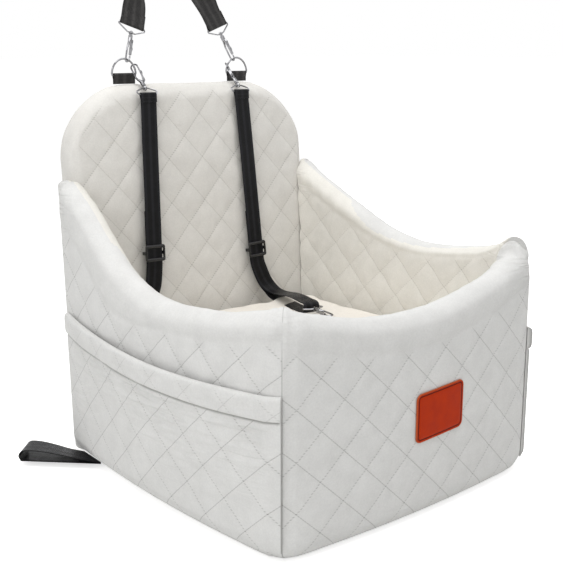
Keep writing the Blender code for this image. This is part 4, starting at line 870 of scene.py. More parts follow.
backLook = {
    "band": 0.0075, "topBand": 0.0015, "puff": 0.0018, "rearPuff": 0.0015, "roll": 0.0003, "start": -0.009,
    "rise": -0.0229, "seed": 11, "tuck": 0.0002, "tuckWide": 0.004, "uneven": 0.0012, "unevenSpan": 0.13,
    "fine": 0.0004, "fineSpan": 0.019, "tabs": 0.104, "tabHalf": 0.022, "tabDeep": 0.016, "wallTop": 0.43,
}


def contourDistance(x, height):
    outline = [(tub["backHalf"], 0.0), (tub["backHalf"], 0.05)]
    outline += [(px, backRimAt(px)) for px in np.linspace(tub["backHalf"] - 1e-5, 0.0, 60)]
    outline = np.array(outline)
    x = np.abs(x)
    best = np.full(x.shape, 1.0)
    for a, b in zip(outline[:-1], outline[1:]):
        ab = b - a
        t = np.clip(((x - a[0]) * ab[0] + (height - a[1]) * ab[1]) / max(float(ab @ ab), 1e-12), 0, 1)
        best = np.minimum(best, np.hypot(x - (a[0] + t * ab[0]), height - (a[1] + t * ab[1])))
    return best


def dressBack(name, look):
    cuts = backCuts()
    front = np.concatenate([[0.0, 0.15, 0.26], np.linspace(0.33, 1.0, 112)[:-1]])
    made = wallSurface(cuts, front, np.linspace(1.0, 0.0, 120)[1:-1])
    points, height, side = made["points"], made["height"], made["side"]
    normal, flip = facing(points, cuts, made["zones"])
    x, y, z = points[..., 0], points[..., 1], points[..., 2]
    inset = contourDistance(x, height)
    band = look["band"] + look["topBand"] * smoothStep((height - 0.46) / 0.03)
    quilted = smoothStep((inset - band) / 0.006) * smoothStep((np.abs(side) / made["half"][:, None] - 0.50) / 0.2)
    low = np.maximum(quilted, 1.0 - smoothStep((np.abs(x) - 0.17) / 0.01))
    quilted = np.where(height < 0.05, low, quilted)
    mapU, mapV = x + look["start"], height + look["rise"]
    total = np.where(side > 0, look["rearPuff"], look["puff"]) * quilted * puff(mapU, mapV, quilting["back"])
    total += look["roll"] * np.sin(math.pi * np.clip(inset / band, 0, 1)) * (1 - quilted)
    total -= look["tuck"] * np.exp(-((inset - band) / look["tuckWide"]) ** 2)
    total += look["uneven"] * waves(x, y, z, look["unevenSpan"], look["seed"])
    total += look["fine"] * waves(x, y, z, look["fineSpan"], look["seed"] + 1, 2) * quilted
    total *= smoothStep((height - 0.004) / 0.022)
    # flat under the tabs and where the side walls lie against it
    underTabs = np.abs(np.abs(x) - look["tabs"]) < look["tabHalf"]
    topHere = smoothStep((height - (tub["backHeight"] - look["tabDeep"])) / 0.008)
    total = np.where(underTabs, total * (1 - topHere), total)
    total *= 1.0 - 0.85 * smoothStep((np.abs(x) - 0.19) / 0.02) * (height < look["wallTop"])
    points = points + normal * total[..., None]
    mesh = gridMesh(name + "_dress", points, np.stack([mapU, mapV], axis=-1), quilted, flip)
    outwards(mesh)
    return pieceOf(name + "_dress", mesh, [cloths["backCloth"]])


back = dressBack("back_panel", backLook)
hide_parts("back_panel_cover", "back_panel_foam")
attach(back, "seat")
print("back dressed")


# Pockets on the sides, made as a skin that stands off the wall's face
def facePoints(cuts, height, offset):
    cuts, height, offset = np.asarray(cuts, float), np.asarray(height, float), np.asarray(offset, float)
    inner, outer = cuts[:, 0:2], cuts[:, 2:4]
    top, foot, bulge = cuts[:, 4:5], cuts[:, 5:6], cuts[:, 6:7]
    width = np.linalg.norm(outer - inner, axis=1)[:, None]
    across = (outer - inner) / width
    half, radius = width / 2, width - foot
    bend = tub["lift"] + radius

    def sideAt(level):
        share = np.clip((level - tub["lift"]) / (top - tub["lift"]), 0.0, 1.0)
        down = np.clip(bend - level, 0.0, radius * 0.999)
        return half - radius + np.sqrt(radius ** 2 - down ** 2) + bulge * np.sin(math.pi * share) ** 0.8

    step = 0.0005
    slope = (sideAt(height + step) - sideAt(height - step)) / (2 * step)
    size = np.sqrt(1.0 + slope ** 2)
    side = sideAt(height) + offset / size
    level = height - offset * slope / size
    plan = ((inner + outer) / 2)[:, None, :] + across[:, None, :] * side[:, :, None]
    return leaned(np.concatenate([plan, level[:, :, None]], axis=2))


pocketSizes = {
    "clear": 0.0010, "mouth": 0.0075, "skin": 0.0038, "hemSwell": 0.0030, "hem": 0.0300, "tail": wallCuts["tail"],
    "groove": 0.0013, "grooveWide": 0.0014, "rows": 60, "hemRows": 24, "puff": 0.0010, "wrinkle": 0.0034,
    "foldsApart": 0.0155, "foldSlant": 0.10, "drift": 2.4, "sag": 0.0016, "deepest": -0.0030,
    "footSkin": 0.35, "footOver": 0.012, "hemAcross": 0.009, "hemUp": 0.006, "calmEnd": 0.030, "calmFoot": 0.035,
    "calmOver": 0.03, "fadeBelow": 0.12, "hemWrinkle": 0.25, "hemPuff": 0.4, "hemLines": 0.55, "seamShadeWide": 0.0009,
    "endShadeWide": 0.0008,
}
pocketLooks = {
    "left_pocket": {"wall": "left_wall", "start": 0.004, "rise": -0.003, "seed": 21},
    "right_pocket": {"wall": "right_wall", "start": 0.020, "rise": 0.008, "seed": 25},
}
hemRows = {}


def dressPocket(name, look):
    sizes, foot = pocketSizes, pocketEdge["foot"]
    cuts = wallLooks[look["wall"]]["cuts"][:-sizes["tail"]]
    s = runOf(cuts)
    edge = pocketEdgeAt((cuts[:, 1] + cuts[:, 3]) / 2)[:, None]
    seam = edge - sizes["hem"]
    body = np.linspace(0.0, 1.0, sizes["rows"])[None, :]
    hem = (0.5 - 0.5 * np.cos(math.pi * np.linspace(0.0, 1.0, sizes["hemRows"])))[None, :]
    levels = np.concatenate([foot + (seam - foot) * body, seam + (edge - seam) * hem[:, 1:]], axis=1)
    isHem = levels > seam
    # how far the skin stands off, and how thick it is
    share = (levels - foot) / (edge - foot)
    inside = sizes["clear"] + sizes["mouth"] * np.sin(math.pi * s / s[-1])[:, None] * share ** 1.3
    inHem = np.clip((levels - seam) / sizes["hem"], 0.0, 1.0)
    full = smoothStep((levels - foot) / sizes["footOver"])
    thick = sizes["skin"] * (sizes["footSkin"] + (1 - sizes["footSkin"]) * full)
    thick = thick + sizes["hemSwell"] * np.clip(1.0 - (2.0 * inHem - 1.0) ** 4, 0.0, 1.0) ** 0.6 * isHem
    thick = thick * np.sqrt(np.clip(1.0 - np.maximum(0.0, (inHem - 0.9) / 0.1) ** 2 * 0.75, 0.0, 1.0))
    groove = sizes["groove"] * np.exp(-((levels - seam) / sizes["grooveWide"]) ** 2)
    base = facePoints(cuts, levels, inside + thick)
    x, y, z = base[..., 0], base[..., 1], base[..., 2]
    mapU = y + sideBands["mapStart"] + look["start"] + np.where(isHem, sizes["hemAcross"], 0.0)
    mapV = levels + look["rise"] + np.where(isHem, sizes["hemUp"], 0.0)

    def uneven(span, turned, octaves=1):
        return waves(x, y, z, span, look["seed"] + turned, octaves)

    # wrinkles below the hem, which fade towards the seams
    away = np.minimum(s, s[-1] - s)[:, None]
    calm = smoothStep(away / sizes["calmEnd"]) * smoothStep((levels - sizes["calmFoot"]) / sizes["calmOver"])
    below = np.clip((seam - levels) / sizes["fadeBelow"], 0.0, 1.0)
    strength = np.where(levels < seam, np.exp(-below * 1.6), sizes["hemWrinkle"])
    patches = np.clip(0.55 + 0.8 * uneven(0.16, 0), 0.0, 1.3)
    drift = 0.9 * uneven(0.10, 3) + 0.35 * uneven(0.035, 4)
    folds = np.abs(np.sin(math.pi * (z + sizes["foldSlant"] * y) / sizes["foldsApart"] + sizes["drift"] * drift))
    wrinkle = sizes["wrinkle"] * (folds ** 0.7 - 0.65) * strength * patches * calm
    sag = sizes["sag"] * uneven(0.15, 2, 2) * calm
    pad = sizes["puff"] * puff(mapU, mapV) * np.where(isHem, sizes["hemPuff"], 1.0) * calm
    form = np.maximum(wrinkle + sag + pad, sizes["deepest"])
    outside = facePoints(cuts, levels, inside + thick - groove + form)
    within = facePoints(cuts, levels, inside)

    def outer(values, inner=None):
        # a table over the pocket's two faces, the inner one first
        inner = np.zeros_like(values) if inner is None else inner
        return np.concatenate([inner, values[:, ::-1]], axis=1)

    lines = np.where(isHem, sizes["hemLines"] * (1.0 - smoothStep((inHem - 0.8) / 0.15)), 1.0)
    # painted shade along the hem's seam groove and at the pocket's ends
    dark = np.exp(-((levels - seam) / sizes["seamShadeWide"]) ** 2) * smoothStep(away / 0.003)
    ends = np.repeat(np.exp(-(s / sizes["endShadeWide"]) ** 2)[:, None], levels.shape[1], axis=1)
    # where wrinkle creases show on the pocket, with their painted shade
    creased = np.clip(strength * 1.1, 0, 1) * np.clip(patches, 0, 1) * calm
    maps = np.stack([outer(mapU, mapU), outer(mapV, mapV)], axis=-1)
    mesh = gridMesh(name + "_dress", outer(outside, within), maps, outer(lines), seams=outer(np.maximum(dark, ends)),
                    folds=outer(creased))
    outwards(mesh)
    hemRows[name] = outside[:, sizes["rows"] + 1]
    return pieceOf(name + "_dress", mesh, [cloths["quiltedCloth"]])


for pocketName, look in pocketLooks.items():
    pocket = dressPocket(pocketName, look)
    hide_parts(pocketName)
    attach(pocket, "seat")
print("pockets dressed")


# The patch on the front stays bare. Each ring: how far in, how high, and the leather from it to the next.
patchRings = {
    "inset": (0.0, 0.0, 0.00012, 0.0005, 0.0011, 0.0026, 0.0031, 0.0038, 0.0044, 0.0075, 0.012, 0.018, 0.024, 0.0295),
    "raise": (0.0, 0.0009, 0.00125, 0.00142, 0.00146, 0.00142, 0.00105, 0.00105, 0.00142, 0.00152, 0.00155, 0.00156,
              0.00157, 0.00157),
    "kind": (1, 1, 1, 1, 0, 2, 2, 2, 0, 0, 0, 0, 0),
    "standing": 0.0006, "smallest": 0.0012, "warp": 0.00025, "warpSpan": 0.05,
}


def roundedRing(halfX, halfZ, corner, sideSteps=14, cornerSteps=8):
    points = []
    corner = min(corner, halfX * 0.95, halfZ * 0.95)
    signs = ((1, 1), (-1, 1), (-1, -1), (1, -1))

    def at(quarter, t):
        centre = np.array(signs[quarter % 4]) * (halfX - corner, halfZ - corner)
        return centre + corner * np.array([math.cos(t), math.sin(t)])

    for quarter in range(4):
        for step in range(cornerSteps + 1):
            points.append(at(quarter, math.pi / 2 * (quarter + step / cornerSteps)))
        start, end = points[-1], at(quarter + 1, math.pi / 2 * (quarter + 1))
        points += [start + (end - start) * step / sideSteps for step in range(1, sideSteps)]
    return np.array(points)


def ringMesh(name, rings, kinds=None, closed=True):
    count = len(rings[0])
    faces, used = [], []
    for i in range(len(rings) - 1):
        for j in range(count):
            k = (j + 1) % count
            faces.append((i * count + j, i * count + k, (i + 1) * count + k, (i + 1) * count + j))
            used.append(kinds[i] if kinds else 0)
    if closed:
        faces += [tuple(range(count - 1, -1, -1)), tuple((len(rings) - 1) * count + j for j in range(count))]
        used += [used[0], used[-1]]
    mesh = bpy.data.meshes.new(name)
    mesh.from_pydata(np.concatenate(rings).tolist(), [], faces)
    mesh.polygons.foreach_set("material_index", used)
    mesh.shade_smooth()
    outwards(mesh)
    return mesh


def frontCutsAt(x):
    table = wallLooks["front_wall"]["cuts"]
    return np.stack([np.interp(x, table[:, 2], table[:, k]) for k in range(7)], axis=1)


def buildPatch(name):
    rings = []
    for inset, rise in zip(patchRings["inset"], patchRings["raise"]):
        corner = max(patch["round"] - inset, patchRings["smallest"])
        flat = roundedRing(patch["wide"] / 2 - inset, patch["high"] / 2 - inset, corner)
        x, z = patch["place"][0] + flat[:, 0], patch["place"][1] + flat[:, 1] + patch["skew"] * flat[:, 0]
        cuts = frontCutsAt(x)
        cuts[:, 0] = cuts[:, 2] = x
        warp = patchRings["warp"] * waves(x, z, 0 * x, patchRings["warpSpan"], 31, 2)
        warp = warp * smoothStep((inset - 0.003) / 0.01)
        rings.append(facePoints(cuts, z[:, None], (patchRings["standing"] + rise + warp)[:, None])[:, 0])
    leathers = [grains["patchLeather"], grains["patchEdge"], grains["patchPressed"]]
    return pieceOf(name, ringMesh(name, rings, patchRings["kind"]), leathers)


patchPiece = buildPatch("leather_patch_dress")
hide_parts("leather_patch")
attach(patchPiece, "seat")
print("patch made")


# The cushion is swelled by a cloth simulation. Its form: how far each ring is drawn in, and its level.
cushion = {
    "low": 0.1035, "edge": 0.180, "corner": 0.034, "gap": 0.0009, "voxel": 0.0055, "pressure": 4.0, "frames": 20,
    "most": 0.007, "shrink": 0.0035, "held": 0.006, "risen": 0.008, "risenReach": 0.045, "soft": 0.004,
    "crown": 0.0055, "room": 0.0006, "wave": 0.0022, "waveSpan": 0.09, "pinch": 0.0007, "pinchSpan": 0.03,
    "swell": 0.0012, "swellSpan": 0.16, "seed": 41, "riseFrom": -0.17, "riseOver": 0.09, "waveReach": 0.06,
    "pinchReach": 0.03, "topFrom": 0.15, "topOver": 0.03, "risenLimit": 1.3,
    "form": ((0.10, 0.0), (0.022, 0.08), (0.0, 0.36), (0.003, 0.62), (0.022, 0.86), (0.06, 0.97), (0.12, 1.02),
             (0.3, 1.04), (0.6, 1.06), (0.85, 1.07)),
}
clothSettings = {"quality": 6, "mass": 0.3, "tension_stiffness": 8.0, "compression_stiffness": 6.0,
                 "bending_stiffness": 0.4, "use_pressure": True, "uniform_pressure_force": cushion["pressure"]}


def bows(x, y):
    return np.array([sideBowAt(v) for v in y]), np.array([frontBowAt(v) for v in x])


def cushionMesh(name):
    halfX, halfY = innerSide - cushion["gap"], (backFront - innerFront) / 2 - cushion["gap"]
    low, shrink = cushion["low"], cushion["shrink"]
    rings = []
    for draw, level in cushion["form"]:
        away = halfX * draw + shrink
        flat = roundedRing(halfX - away, halfY - away, cushion["corner"], 30, 10)
        z = np.full(len(flat), low + shrink * 0.4 + (cushion["edge"] - low - shrink) * level)
        x, y = flat[:, 0], flat[:, 1] + (backFront + innerFront) / 2
        bowX, bowY = bows(x, y)
        bowX = bowX * np.minimum(np.abs(x) / innerSide, 1.0) ** 2 * np.sign(x)
        bowY = bowY * np.clip(y / innerFront, 0.0, 1.0) ** 2
        rings.append(np.stack([x + bowX, y - bowY, z], axis=1))
    return ringMesh(name, rings)


def pointsOf(mesh):
    points = np.zeros(len(mesh.vertices) * 3)
    mesh.vertices.foreach_get("co", points)
    return points.reshape(-1, 3)


def evaluated(piece):
    return bpy.data.meshes.new_from_object(piece.evaluated_get(bpy.context.evaluated_depsgraph_get()))


# Voxel remesh, then pressure, with each point's move capped
def swell(piece, settings):
    remesh = piece.modifiers.new("remesh", "REMESH")
    remesh.mode = "VOXEL"
    remesh.voxel_size = settings["voxel"]
    even = evaluated(piece)
    piece.modifiers.remove(remesh)
    piece.data = even
    start = pointsOf(even)
    held = piece.vertex_groups.new(name="held")
    held.add([i for i, p in enumerate(start) if p[2] < settings["low"] + settings["held"]], 1.0, "REPLACE")
    cloth = piece.modifiers.new("cloth", "CLOTH")
    for key, value in clothSettings.items():
        setattr(cloth.settings, key, value)
    cloth.settings.effector_weights.gravity = 0.0
    cloth.settings.vertex_group_mass = "held"
    cloth.collision_settings.use_collision = False
    cloth.point_cache.frame_start = 1
    cloth.point_cache.frame_end = settings["frames"]
    for number in range(1, settings["frames"] + 1):
        scene.frame_set(number)
    move = pointsOf(evaluated(piece)) - start
    size = np.linalg.norm(move, axis=1, keepdims=True)
    piece.modifiers.remove(cloth)
    scene.frame_set(1)
    start = start + move * np.minimum(1.0, settings["most"] / np.maximum(size, 1e-9))
    print("cushion swelled, before the cap by up to", round(float(size.max()) * 1000, 1), "mm")
    even.vertices.foreach_set("co", start.ravel())
    piece.modifiers.new("smooth", "SUBSURF").levels = 1
    smooth = evaluated(piece)
    piece.modifiers.clear()
    piece.vertex_groups.clear()
    piece.data = smooth
    return smooth


def dressCushion(name):
    piece = pieceOf(name, cushionMesh(name), [])
    mesh = swell(piece, cushion)
    x, y, z = pointsOf(mesh).T
    bowX, bowY = bows(x, y)
    toSide, toFront, toBack = innerSide + bowX - np.abs(x), y - innerFront + bowY, backFront - y
    near = np.maximum(np.minimum(toSide, np.minimum(toFront, toBack)), 0)
    # it stands up by the walls, and the straps need the middle to stay low
    risen = cushion["risen"] * np.exp(-np.maximum(np.minimum(toSide, toBack), 0) / cushion["risenReach"])
    risen = risen * smoothStep((y - cushion["riseFrom"]) / cushion["riseOver"])
    wave = cushion["wave"] * waves(x, y, z, cushion["waveSpan"], cushion["seed"], 2)
    pinch = cushion["pinch"] * waves(x, y, z, cushion["pinchSpan"], cushion["seed"] + 2, 2)
    form = risen + wave * np.exp(-near / cushion["waveReach"]) + pinch * np.exp(-near / cushion["pinchReach"])
    form = form + cushion["swell"] * waves(x, y, 0 * z, cushion["swellSpan"], cushion["seed"] + 4, 1)
    z = z + smoothStep((z - cushion["topFrom"]) / cushion["topOver"]) * form
    limit = cushion["edge"] + cushion["crown"] + cushion["risenLimit"] * risen
    over = np.maximum(z - limit + cushion["soft"], 0.0)
    z = np.where(over > 0, limit - cushion["soft"] * np.exp(-over / cushion["soft"]), z)
    z = np.maximum(z, cushion["low"])
    sideRoom, frontRoom = innerSide - cushion["room"] + bowX, innerFront + cushion["room"] - bowY
    x, y = np.clip(x, -sideRoom, sideRoom), np.clip(y, frontRoom, backFront - cushion["room"])
    mesh.vertices.foreach_set("co", np.stack([x, y, z], axis=1).ravel())
    mesh.materials.clear()
    mesh.materials.append(cloths["cushionCloth"])
    mesh.shade_smooth()
    mesh.update()
    return piece


cushionPiece = dressCushion("seat_cushion_dress")
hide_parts("seat_cushion_cover", "seat_cushion_filling")
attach(cushionPiece, "seat")
print("cushion made")


# Straps, rings and tabs
hang = {
    "web": 0.0014, "layerGap": 0.0004, "gap": 0.0003, "ringWeb": 0.0366, "tether": 0.0270, "headrest": 0.0390,
    "anchor": 0.0380, "ringSpacing": 0.208, "ringRadius": 0.0205, "ringStretch": 1.15, "ringPlace": 0.2565,
    "ringWire": 0.0015, "ringBar": 0.543, "ringBarHalf": 0.0195, "hookWire": 0.0013, "bossPlace": 0.0456,
    "eyeWire": 0.0011, "headrestDrop": 0.0125, "tetherDrop": 0.0115, "strandAngle": math.radians(20.0),
    "loopLean": math.radians(16.7), "twist": 1.15, "apex": 0.034, "headrestFlap": 0.020,
    "contactAngle": math.radians(62.0), "tetherSeat": 0.0050, "barDrop": 0.0357, "tetherFlap": 0.0120,
    "sliderHigh": {-1: 0.284, 1: 0.266}, "spread": 0.0965, "faceGap": 0.0115, "tail": 0.080, "sliderHalf": 0.0125,
    "sliderBar": 0.0045, "longest": 0.004,
}
fall = {
    "side": 0.0215, "sideShares": (0.20, 0.65, 0.95, 1.0, 0.85, 0.55, 0.30, 0.20),
    "forward": (0.005, 0.02, 0.09, 0.20, 0.37, 0.56, 0.75, 0.91), "high": 0.0425,
    "frontShares": (1.0, 0.48, 0.175, 0.07, 0.105, 0.20, 0.235, 0.195),
    "backShares": (1.0, 0.455, 0.08, -0.14, -0.18, -0.18, -0.178, -0.177),
    "bightSide": 0.20, "bightRadius": 0.0075, "bightPlace": 0.0688, "bightHigh": 0.1935,
    "turn": math.radians(-10.0), "wrap": math.radians(85), "steps": 9,
}
anchor = {
    "root": (0.2376, 0.158), "slope": 0.067, "reach": 0.102, "high": 0.0165, "seam": 0.0075,
    "low": (0.0, 0.35, 0.75, 0.90, 0.97), "bight": ((0.985, 0.15), (1.0, 0.45), (0.975, 0.80), (0.90, 1.0)),
    "top": ((0.70, 0.93), (0.47, 0.66), (0.28, 0.38), (0.13, 0.225)), "steps": 6,
}
# half a strap's section, from its edge to its middle, as shares of half its width and half its thickness
halfSection = ((1.0, 0.0), (0.992, 0.55), (0.97, 0.88), (0.93, 1.0), (0.88, 0.9), (0.6, 0.88), (0.3, 0.9), (0.0, 0.92))
strapSection = [*halfSection, *[(-a, b) for a, b in halfSection[-2::-1]]]
strapSection += [(a, -b) for a, b in strapSection[-2:0:-1]]
layer = hang["web"] + hang["layerGap"]
roundEye = hang["eyeWire"] + hang["gap"] + hang["web"] / 2


def arc(start, end, steps):
    return [start + (end - start) * step / steps for step in range(steps + 1)]


def curveThrough(knots, steps):
    knots = [np.array(k, float) for k in knots]
    ends = [2 * knots[0] - knots[1], *knots, 2 * knots[-1] - knots[-2]]
    found = []
    for i in range(1, len(ends) - 2):
        p0, p1, p2, p3 = ends[i - 1:i + 3]
        for step in range(steps):
            t = step / steps
            square, cube = 2 * p0 - 5 * p1 + 4 * p2 - p3, 3 * p1 - p0 - 3 * p2 + p3
            found.append(0.5 * (2 * p1 + (p2 - p0) * t + square * t * t + cube * t ** 3))
    found.append(knots[-1])
    return found


def strapPiece(name, path, width, material):
    points = [np.array(p, float) for p, _ in path]
    rings, along = [], [0.0]
    for i, (_, direction) in enumerate(path):
        tangent = unit(points[min(i + 1, len(points) - 1)] - points[max(i - 1, 0)])
        wide = np.array(direction, float)
        wide = unit(wide - tangent * float(wide @ tangent))
        face = np.cross(wide, tangent)
        ring = [points[i] + wide * (width / 2) * a + face * (hang["web"] / 2) * b for a, b in strapSection]
        rings.append(np.array(ring))
        if i:
            along.append(along[-1] + float(np.linalg.norm(points[i] - points[i - 1])))
    return strapFrom(name, rings, width, along, material)


def strapFrom(name, rings, width, along, material):
    mesh = ringMesh(name, rings)
    across = [a * width / 2 for a, _ in strapSection]
    addMap(mesh, "strapMap", np.array([(a, b) for b in along for a in across]))
    return pieceOf(name, mesh, [material])


# A strap's path is a list of places and width directions. Its long stretches are cut into shorter ones.
def filled(path):
    result = [path[0]]
    for (p, w), (q, v) in zip(path[:-1], path[1:]):
        p, q, w, v = (np.array(item, float) for item in (p, q, w, v))
        steps = max(1, int(np.linalg.norm(q - p) / hang["longest"]))
        for step in range(1, steps + 1):
            share = step / steps
            result.append((p + (q - p) * share, w + (v - w) * share))
    return result


def flapRound(bar, along, front, wide, flap):
    # the sewn flap in front, the turn round the eye's bar, and the start of the strap
    path = [(bar + along * flap + front * layer, wide), (bar + along * (roundEye * 3) + front * layer, wide)]
    for t in arc(0.0, math.pi, 16):
        path.append((bar + front * roundEye * math.cos(t) - along * roundEye * math.sin(t), wide))
    return [*path, (bar + along * (roundEye * 4), wide)]


def tabPath(x):
    roundBar = hang["ringWire"] + hang["gap"] + hang["web"] / 2
    pressed = layer / 2
    narrow = hang["ringBar"] - hang["ringWire"] * 4
    foot = tub["backHeight"] + hang["gap"]
    flat = [(pressed, foot), (pressed, narrow)]
    flat += [(roundBar * math.cos(t), hang["ringBar"] + roundBar * math.sin(t)) for t in arc(0.0, math.pi, 16)]
    flat += [(-pressed, narrow), (-pressed, foot)]
    return filled([((x, hang["ringPlace"] + y, z), (1, 0, 0)) for y, z in flat])


loopUp = np.array([0.0, math.sin(hang["loopLean"]), math.cos(hang["loopLean"])])
loopFront = np.array([0.0, -math.cos(hang["loopLean"]), math.sin(hang["loopLean"])])


def contactOn(angle):
    # where a bail rides on the ring's bow: how far from the middle plane, and how high
    side = hang["ringSpacing"] / 2 - hang["ringRadius"] * math.sin(angle)
    return side, hang["ringBar"] + hang["ringRadius"] * hang["ringStretch"] * math.cos(angle)


contactSide, contactHigh = contactOn(hang["strandAngle"])
loopAxis = np.array([0.0, hang["ringPlace"], contactHigh])
hookSeat = hang["ringWire"] + hang["gap"] + hang["hookWire"]
eyeReach = hang["bossPlace"] - hookSeat + hang["headrestDrop"]


def strandDirection(side):
    return unit(np.array([-side * math.sin(hang["strandAngle"]), 0.0, 0.0]) + loopUp * math.cos(hang["strandAngle"]))


def strandStart(side):
    angle = hang["strandAngle"]
    along = strandDirection(side)
    wide = unit(np.array([side * math.cos(angle), 0.0, 0.0]) + loopUp * math.sin(angle))
    return loopAxis + np.array([side * contactSide, 0.0, 0.0]) + along * eyeReach, along, wide


def headrestHalf():
    angle, apex = hang["strandAngle"], hang["apex"]
    bar, along, wide = strandStart(1)
    path = flapRound(bar, along, loopFront, wide, hang["headrestFlap"])
    path.append((bar + along * hang["headrestFlap"], wide))
    turned = math.tan(angle)
    tangent = (contactSide - apex / math.cos(angle)) / turned + apex * math.sin(angle)
    first = float((bar + along * hang["headrestFlap"] - loopAxis) @ loopUp)

    def at(x, height, twist):
        t = math.pi / 2 * float(smoothStep(twist))
        return loopAxis + np.array([x, 0.0, 0.0]) + loopUp * height, wide * math.cos(t) + loopFront * math.sin(t)

    for step in range(1, 31):
        share = step / 30
        height = first + (tangent - first) * share
        path.append(at(contactSide - height * turned, height, share * hang["twist"]))
    centre = tangent - apex * math.sin(angle)
    for t in arc(angle, math.pi / 2, 18)[1:]:
        path.append(at(apex * math.cos(t), centre + apex * math.sin(t), 1.0))
    return path


def headrestPath():
    half = headrestHalf()
    top = (half[-1][0] * np.array([0.0, 1.0, 1.0]), half[-1][1])
    flip = np.array([-1.0, 1.0, 1.0])
    return filled([*half[:-1], top, *[(p * flip, w * flip) for p, w in half[-2::-1]]])


def panelFace(height):
    return backFront + tub["lean"] * (height / tub["backHeight"]) ** 2


tetherSide, tetherHigh = contactOn(hang["contactAngle"])
tetherReach = hang["bossPlace"] - hang["tetherSeat"] + hang["tetherDrop"]


def tetherPoints(side):
    contact = np.array([side * tetherSide, hang["ringPlace"], tetherHigh])
    bar = contact + np.array([0.0, -hang["barDrop"], -math.sqrt(tetherReach ** 2 - hang["barDrop"] ** 2)])
    height = hang["sliderHigh"][side]
    return contact, bar, np.array([side * hang["spread"], panelFace(height) - hang["faceGap"], height])


def lowerBar(side):
    x = side * hang["spread"] + side * fall["side"] * fall["bightSide"]
    wide = np.array([math.cos(side * fall["turn"]), math.sin(side * fall["turn"]), 0.0])
    return np.array([x, fall["bightPlace"], fall["bightHigh"]]), np.array([wide[1], -wide[0], 0.0]), wide


def strandAxes(bar, place):
    down = unit(place - bar)
    wide = unit(np.array([1.0, 0.0, 0.0]) - down * down[0])
    return down, wide, np.cross(down, wide)


def foldAxes(side):
    contact, bar, place = tetherPoints(side)
    along = unit(bar - contact)
    down = unit(place - bar)
    wide = unit(np.array([1.0, 0.0, 0.0]) - along * along[0])
    down = unit(down - wide * float(down @ wide))
    return wide, down, np.cross(down, wide)


def tetherPath(side):
    _, bar, place = tetherPoints(side)
    foldWide, foldDown, foldFront = foldAxes(side)
    down, wide, front = strandAxes(bar, place)
    path = flapRound(bar, foldDown, foldFront, foldWide, hang["tetherFlap"])
    straight = float((place - bar) @ down) + hang["sliderHalf"] + hang["sliderBar"]
    start, behind = bar + down * straight, bar + down * straight - front * layer
    path += [(bar + down * straight * 0.3, wide), (start, wide)]

    def knot(point, direction):
        return np.concatenate([point, direction])

    # below the slider the two layers fall forwards to the lower hook's eye, and turn round its bar
    eyeBar, away, bightWide = lowerBar(side)
    knots = [knot(start - down * hang["sliderHalf"], wide), knot(start, wide)]
    backKnots = [knot(behind - down * hang["sliderHalf"], wide), knot(behind, wide)]
    for number, share in enumerate(fall["forward"]):
        mixed = float(smoothStep(number / (len(fall["forward"]) - 1)))
        direction = unit(wide * (1 - mixed) + bightWide * mixed)
        x = place[0] + side * fall["side"] * fall["sideShares"][number]
        y = start[1] - (start[1] - eyeBar[1]) * share
        knots.append(knot([x, y, eyeBar[2] + fall["high"] * fall["frontShares"][number]], direction))
        high = eyeBar[2] + fall["high"] * fall["backShares"][number]
        backKnots.append(knot([x, y + layer * (1 - mixed), high], direction))
    centre = eyeBar - away * (fall["bightRadius"] - roundEye)
    upright = np.array([0.0, 0.0, 1.0])

    def bight(t):
        return knot(centre + (away * math.cos(t) + upright * math.sin(t)) * fall["bightRadius"], bightWide)

    wrap, steps = fall["wrap"], fall["steps"]
    frontCurve = curveThrough([*knots, bight(wrap)], steps)[steps + 1:]
    backCurve = curveThrough([*backKnots, bight(-wrap)], steps)[steps:]
    turned = [bight(t) for t in arc(wrap, -wrap, 18)[1:-1]]
    path += [(k[:3], k[3:]) for k in [*frontCurve, *turned, *backCurve[::-1]]]
    path.append((behind - down * hang["tail"], wide))
    return filled(path)


def anchorPiece(name, side):
    width = hang["anchor"]
    outward = np.array([math.sqrt(0.5), math.sqrt(0.5), 0.0])
    half = np.array([math.sqrt(0.5), -math.sqrt(0.5), 0.0]) * (width / 2)
    low = hang["web"] / 2 + hang["layerGap"] / 4
    knots = [(share, low) for share in anchor["low"]]
    knots += [(share, low + (anchor["high"] - low) * height) for share, height in anchor["bight"] + anchor["top"]]
    knots.append((0.0, low + layer))
    path = curveThrough([np.array([share * anchor["reach"], height]) for share, height in knots], anchor["steps"])
    root = anchor["root"]

    def startOf(share):
        y = root[1] - share * width * math.sqrt(0.5)
        x = root[0] - (y - root[1]) * anchor["slope"]
        return float((np.array([x - root[0], y - root[1], 0.0]) - half * share) @ outward)

    rings, along = [], [0.0]
    for i, (reach, height) in enumerate(path):
        step = unit(path[min(i + 1, len(path) - 1)] - path[max(i - 1, 0)])
        face = np.array([*(outward[:2] * -step[1]), step[0]]) * (hang["web"] / 2)
        middle = np.array([*root, anchor["seam"] + height])
        ring = []
        for a, b in strapSection:
            far = startOf(a) + reach * (1.0 - startOf(a) / anchor["reach"])
            ring.append((middle + half * a + outward * far + face * b) * np.array([side, 1.0, 1.0]))
        rings.append(np.array(ring))
        if i:
            along.append(along[-1] + float(np.linalg.norm(path[i] - path[i - 1])))
    return strapFrom(name, rings, width, along, webbings["tetherWebbing"])


# A closed row of rings, such as a bent wire's
def loopedMesh(name, rings):
    mesh = ringMesh(name, rings + rings[:1], closed=False)
    work = bmesh.new()
    work.from_mesh(mesh)
    bmesh.ops.remove_doubles(work, verts=work.verts, dist=1e-6)
    bmesh.ops.recalc_face_normals(work, faces=work.faces)
    work.to_mesh(mesh)
    work.free()
    mesh.shade_smooth()
    return mesh


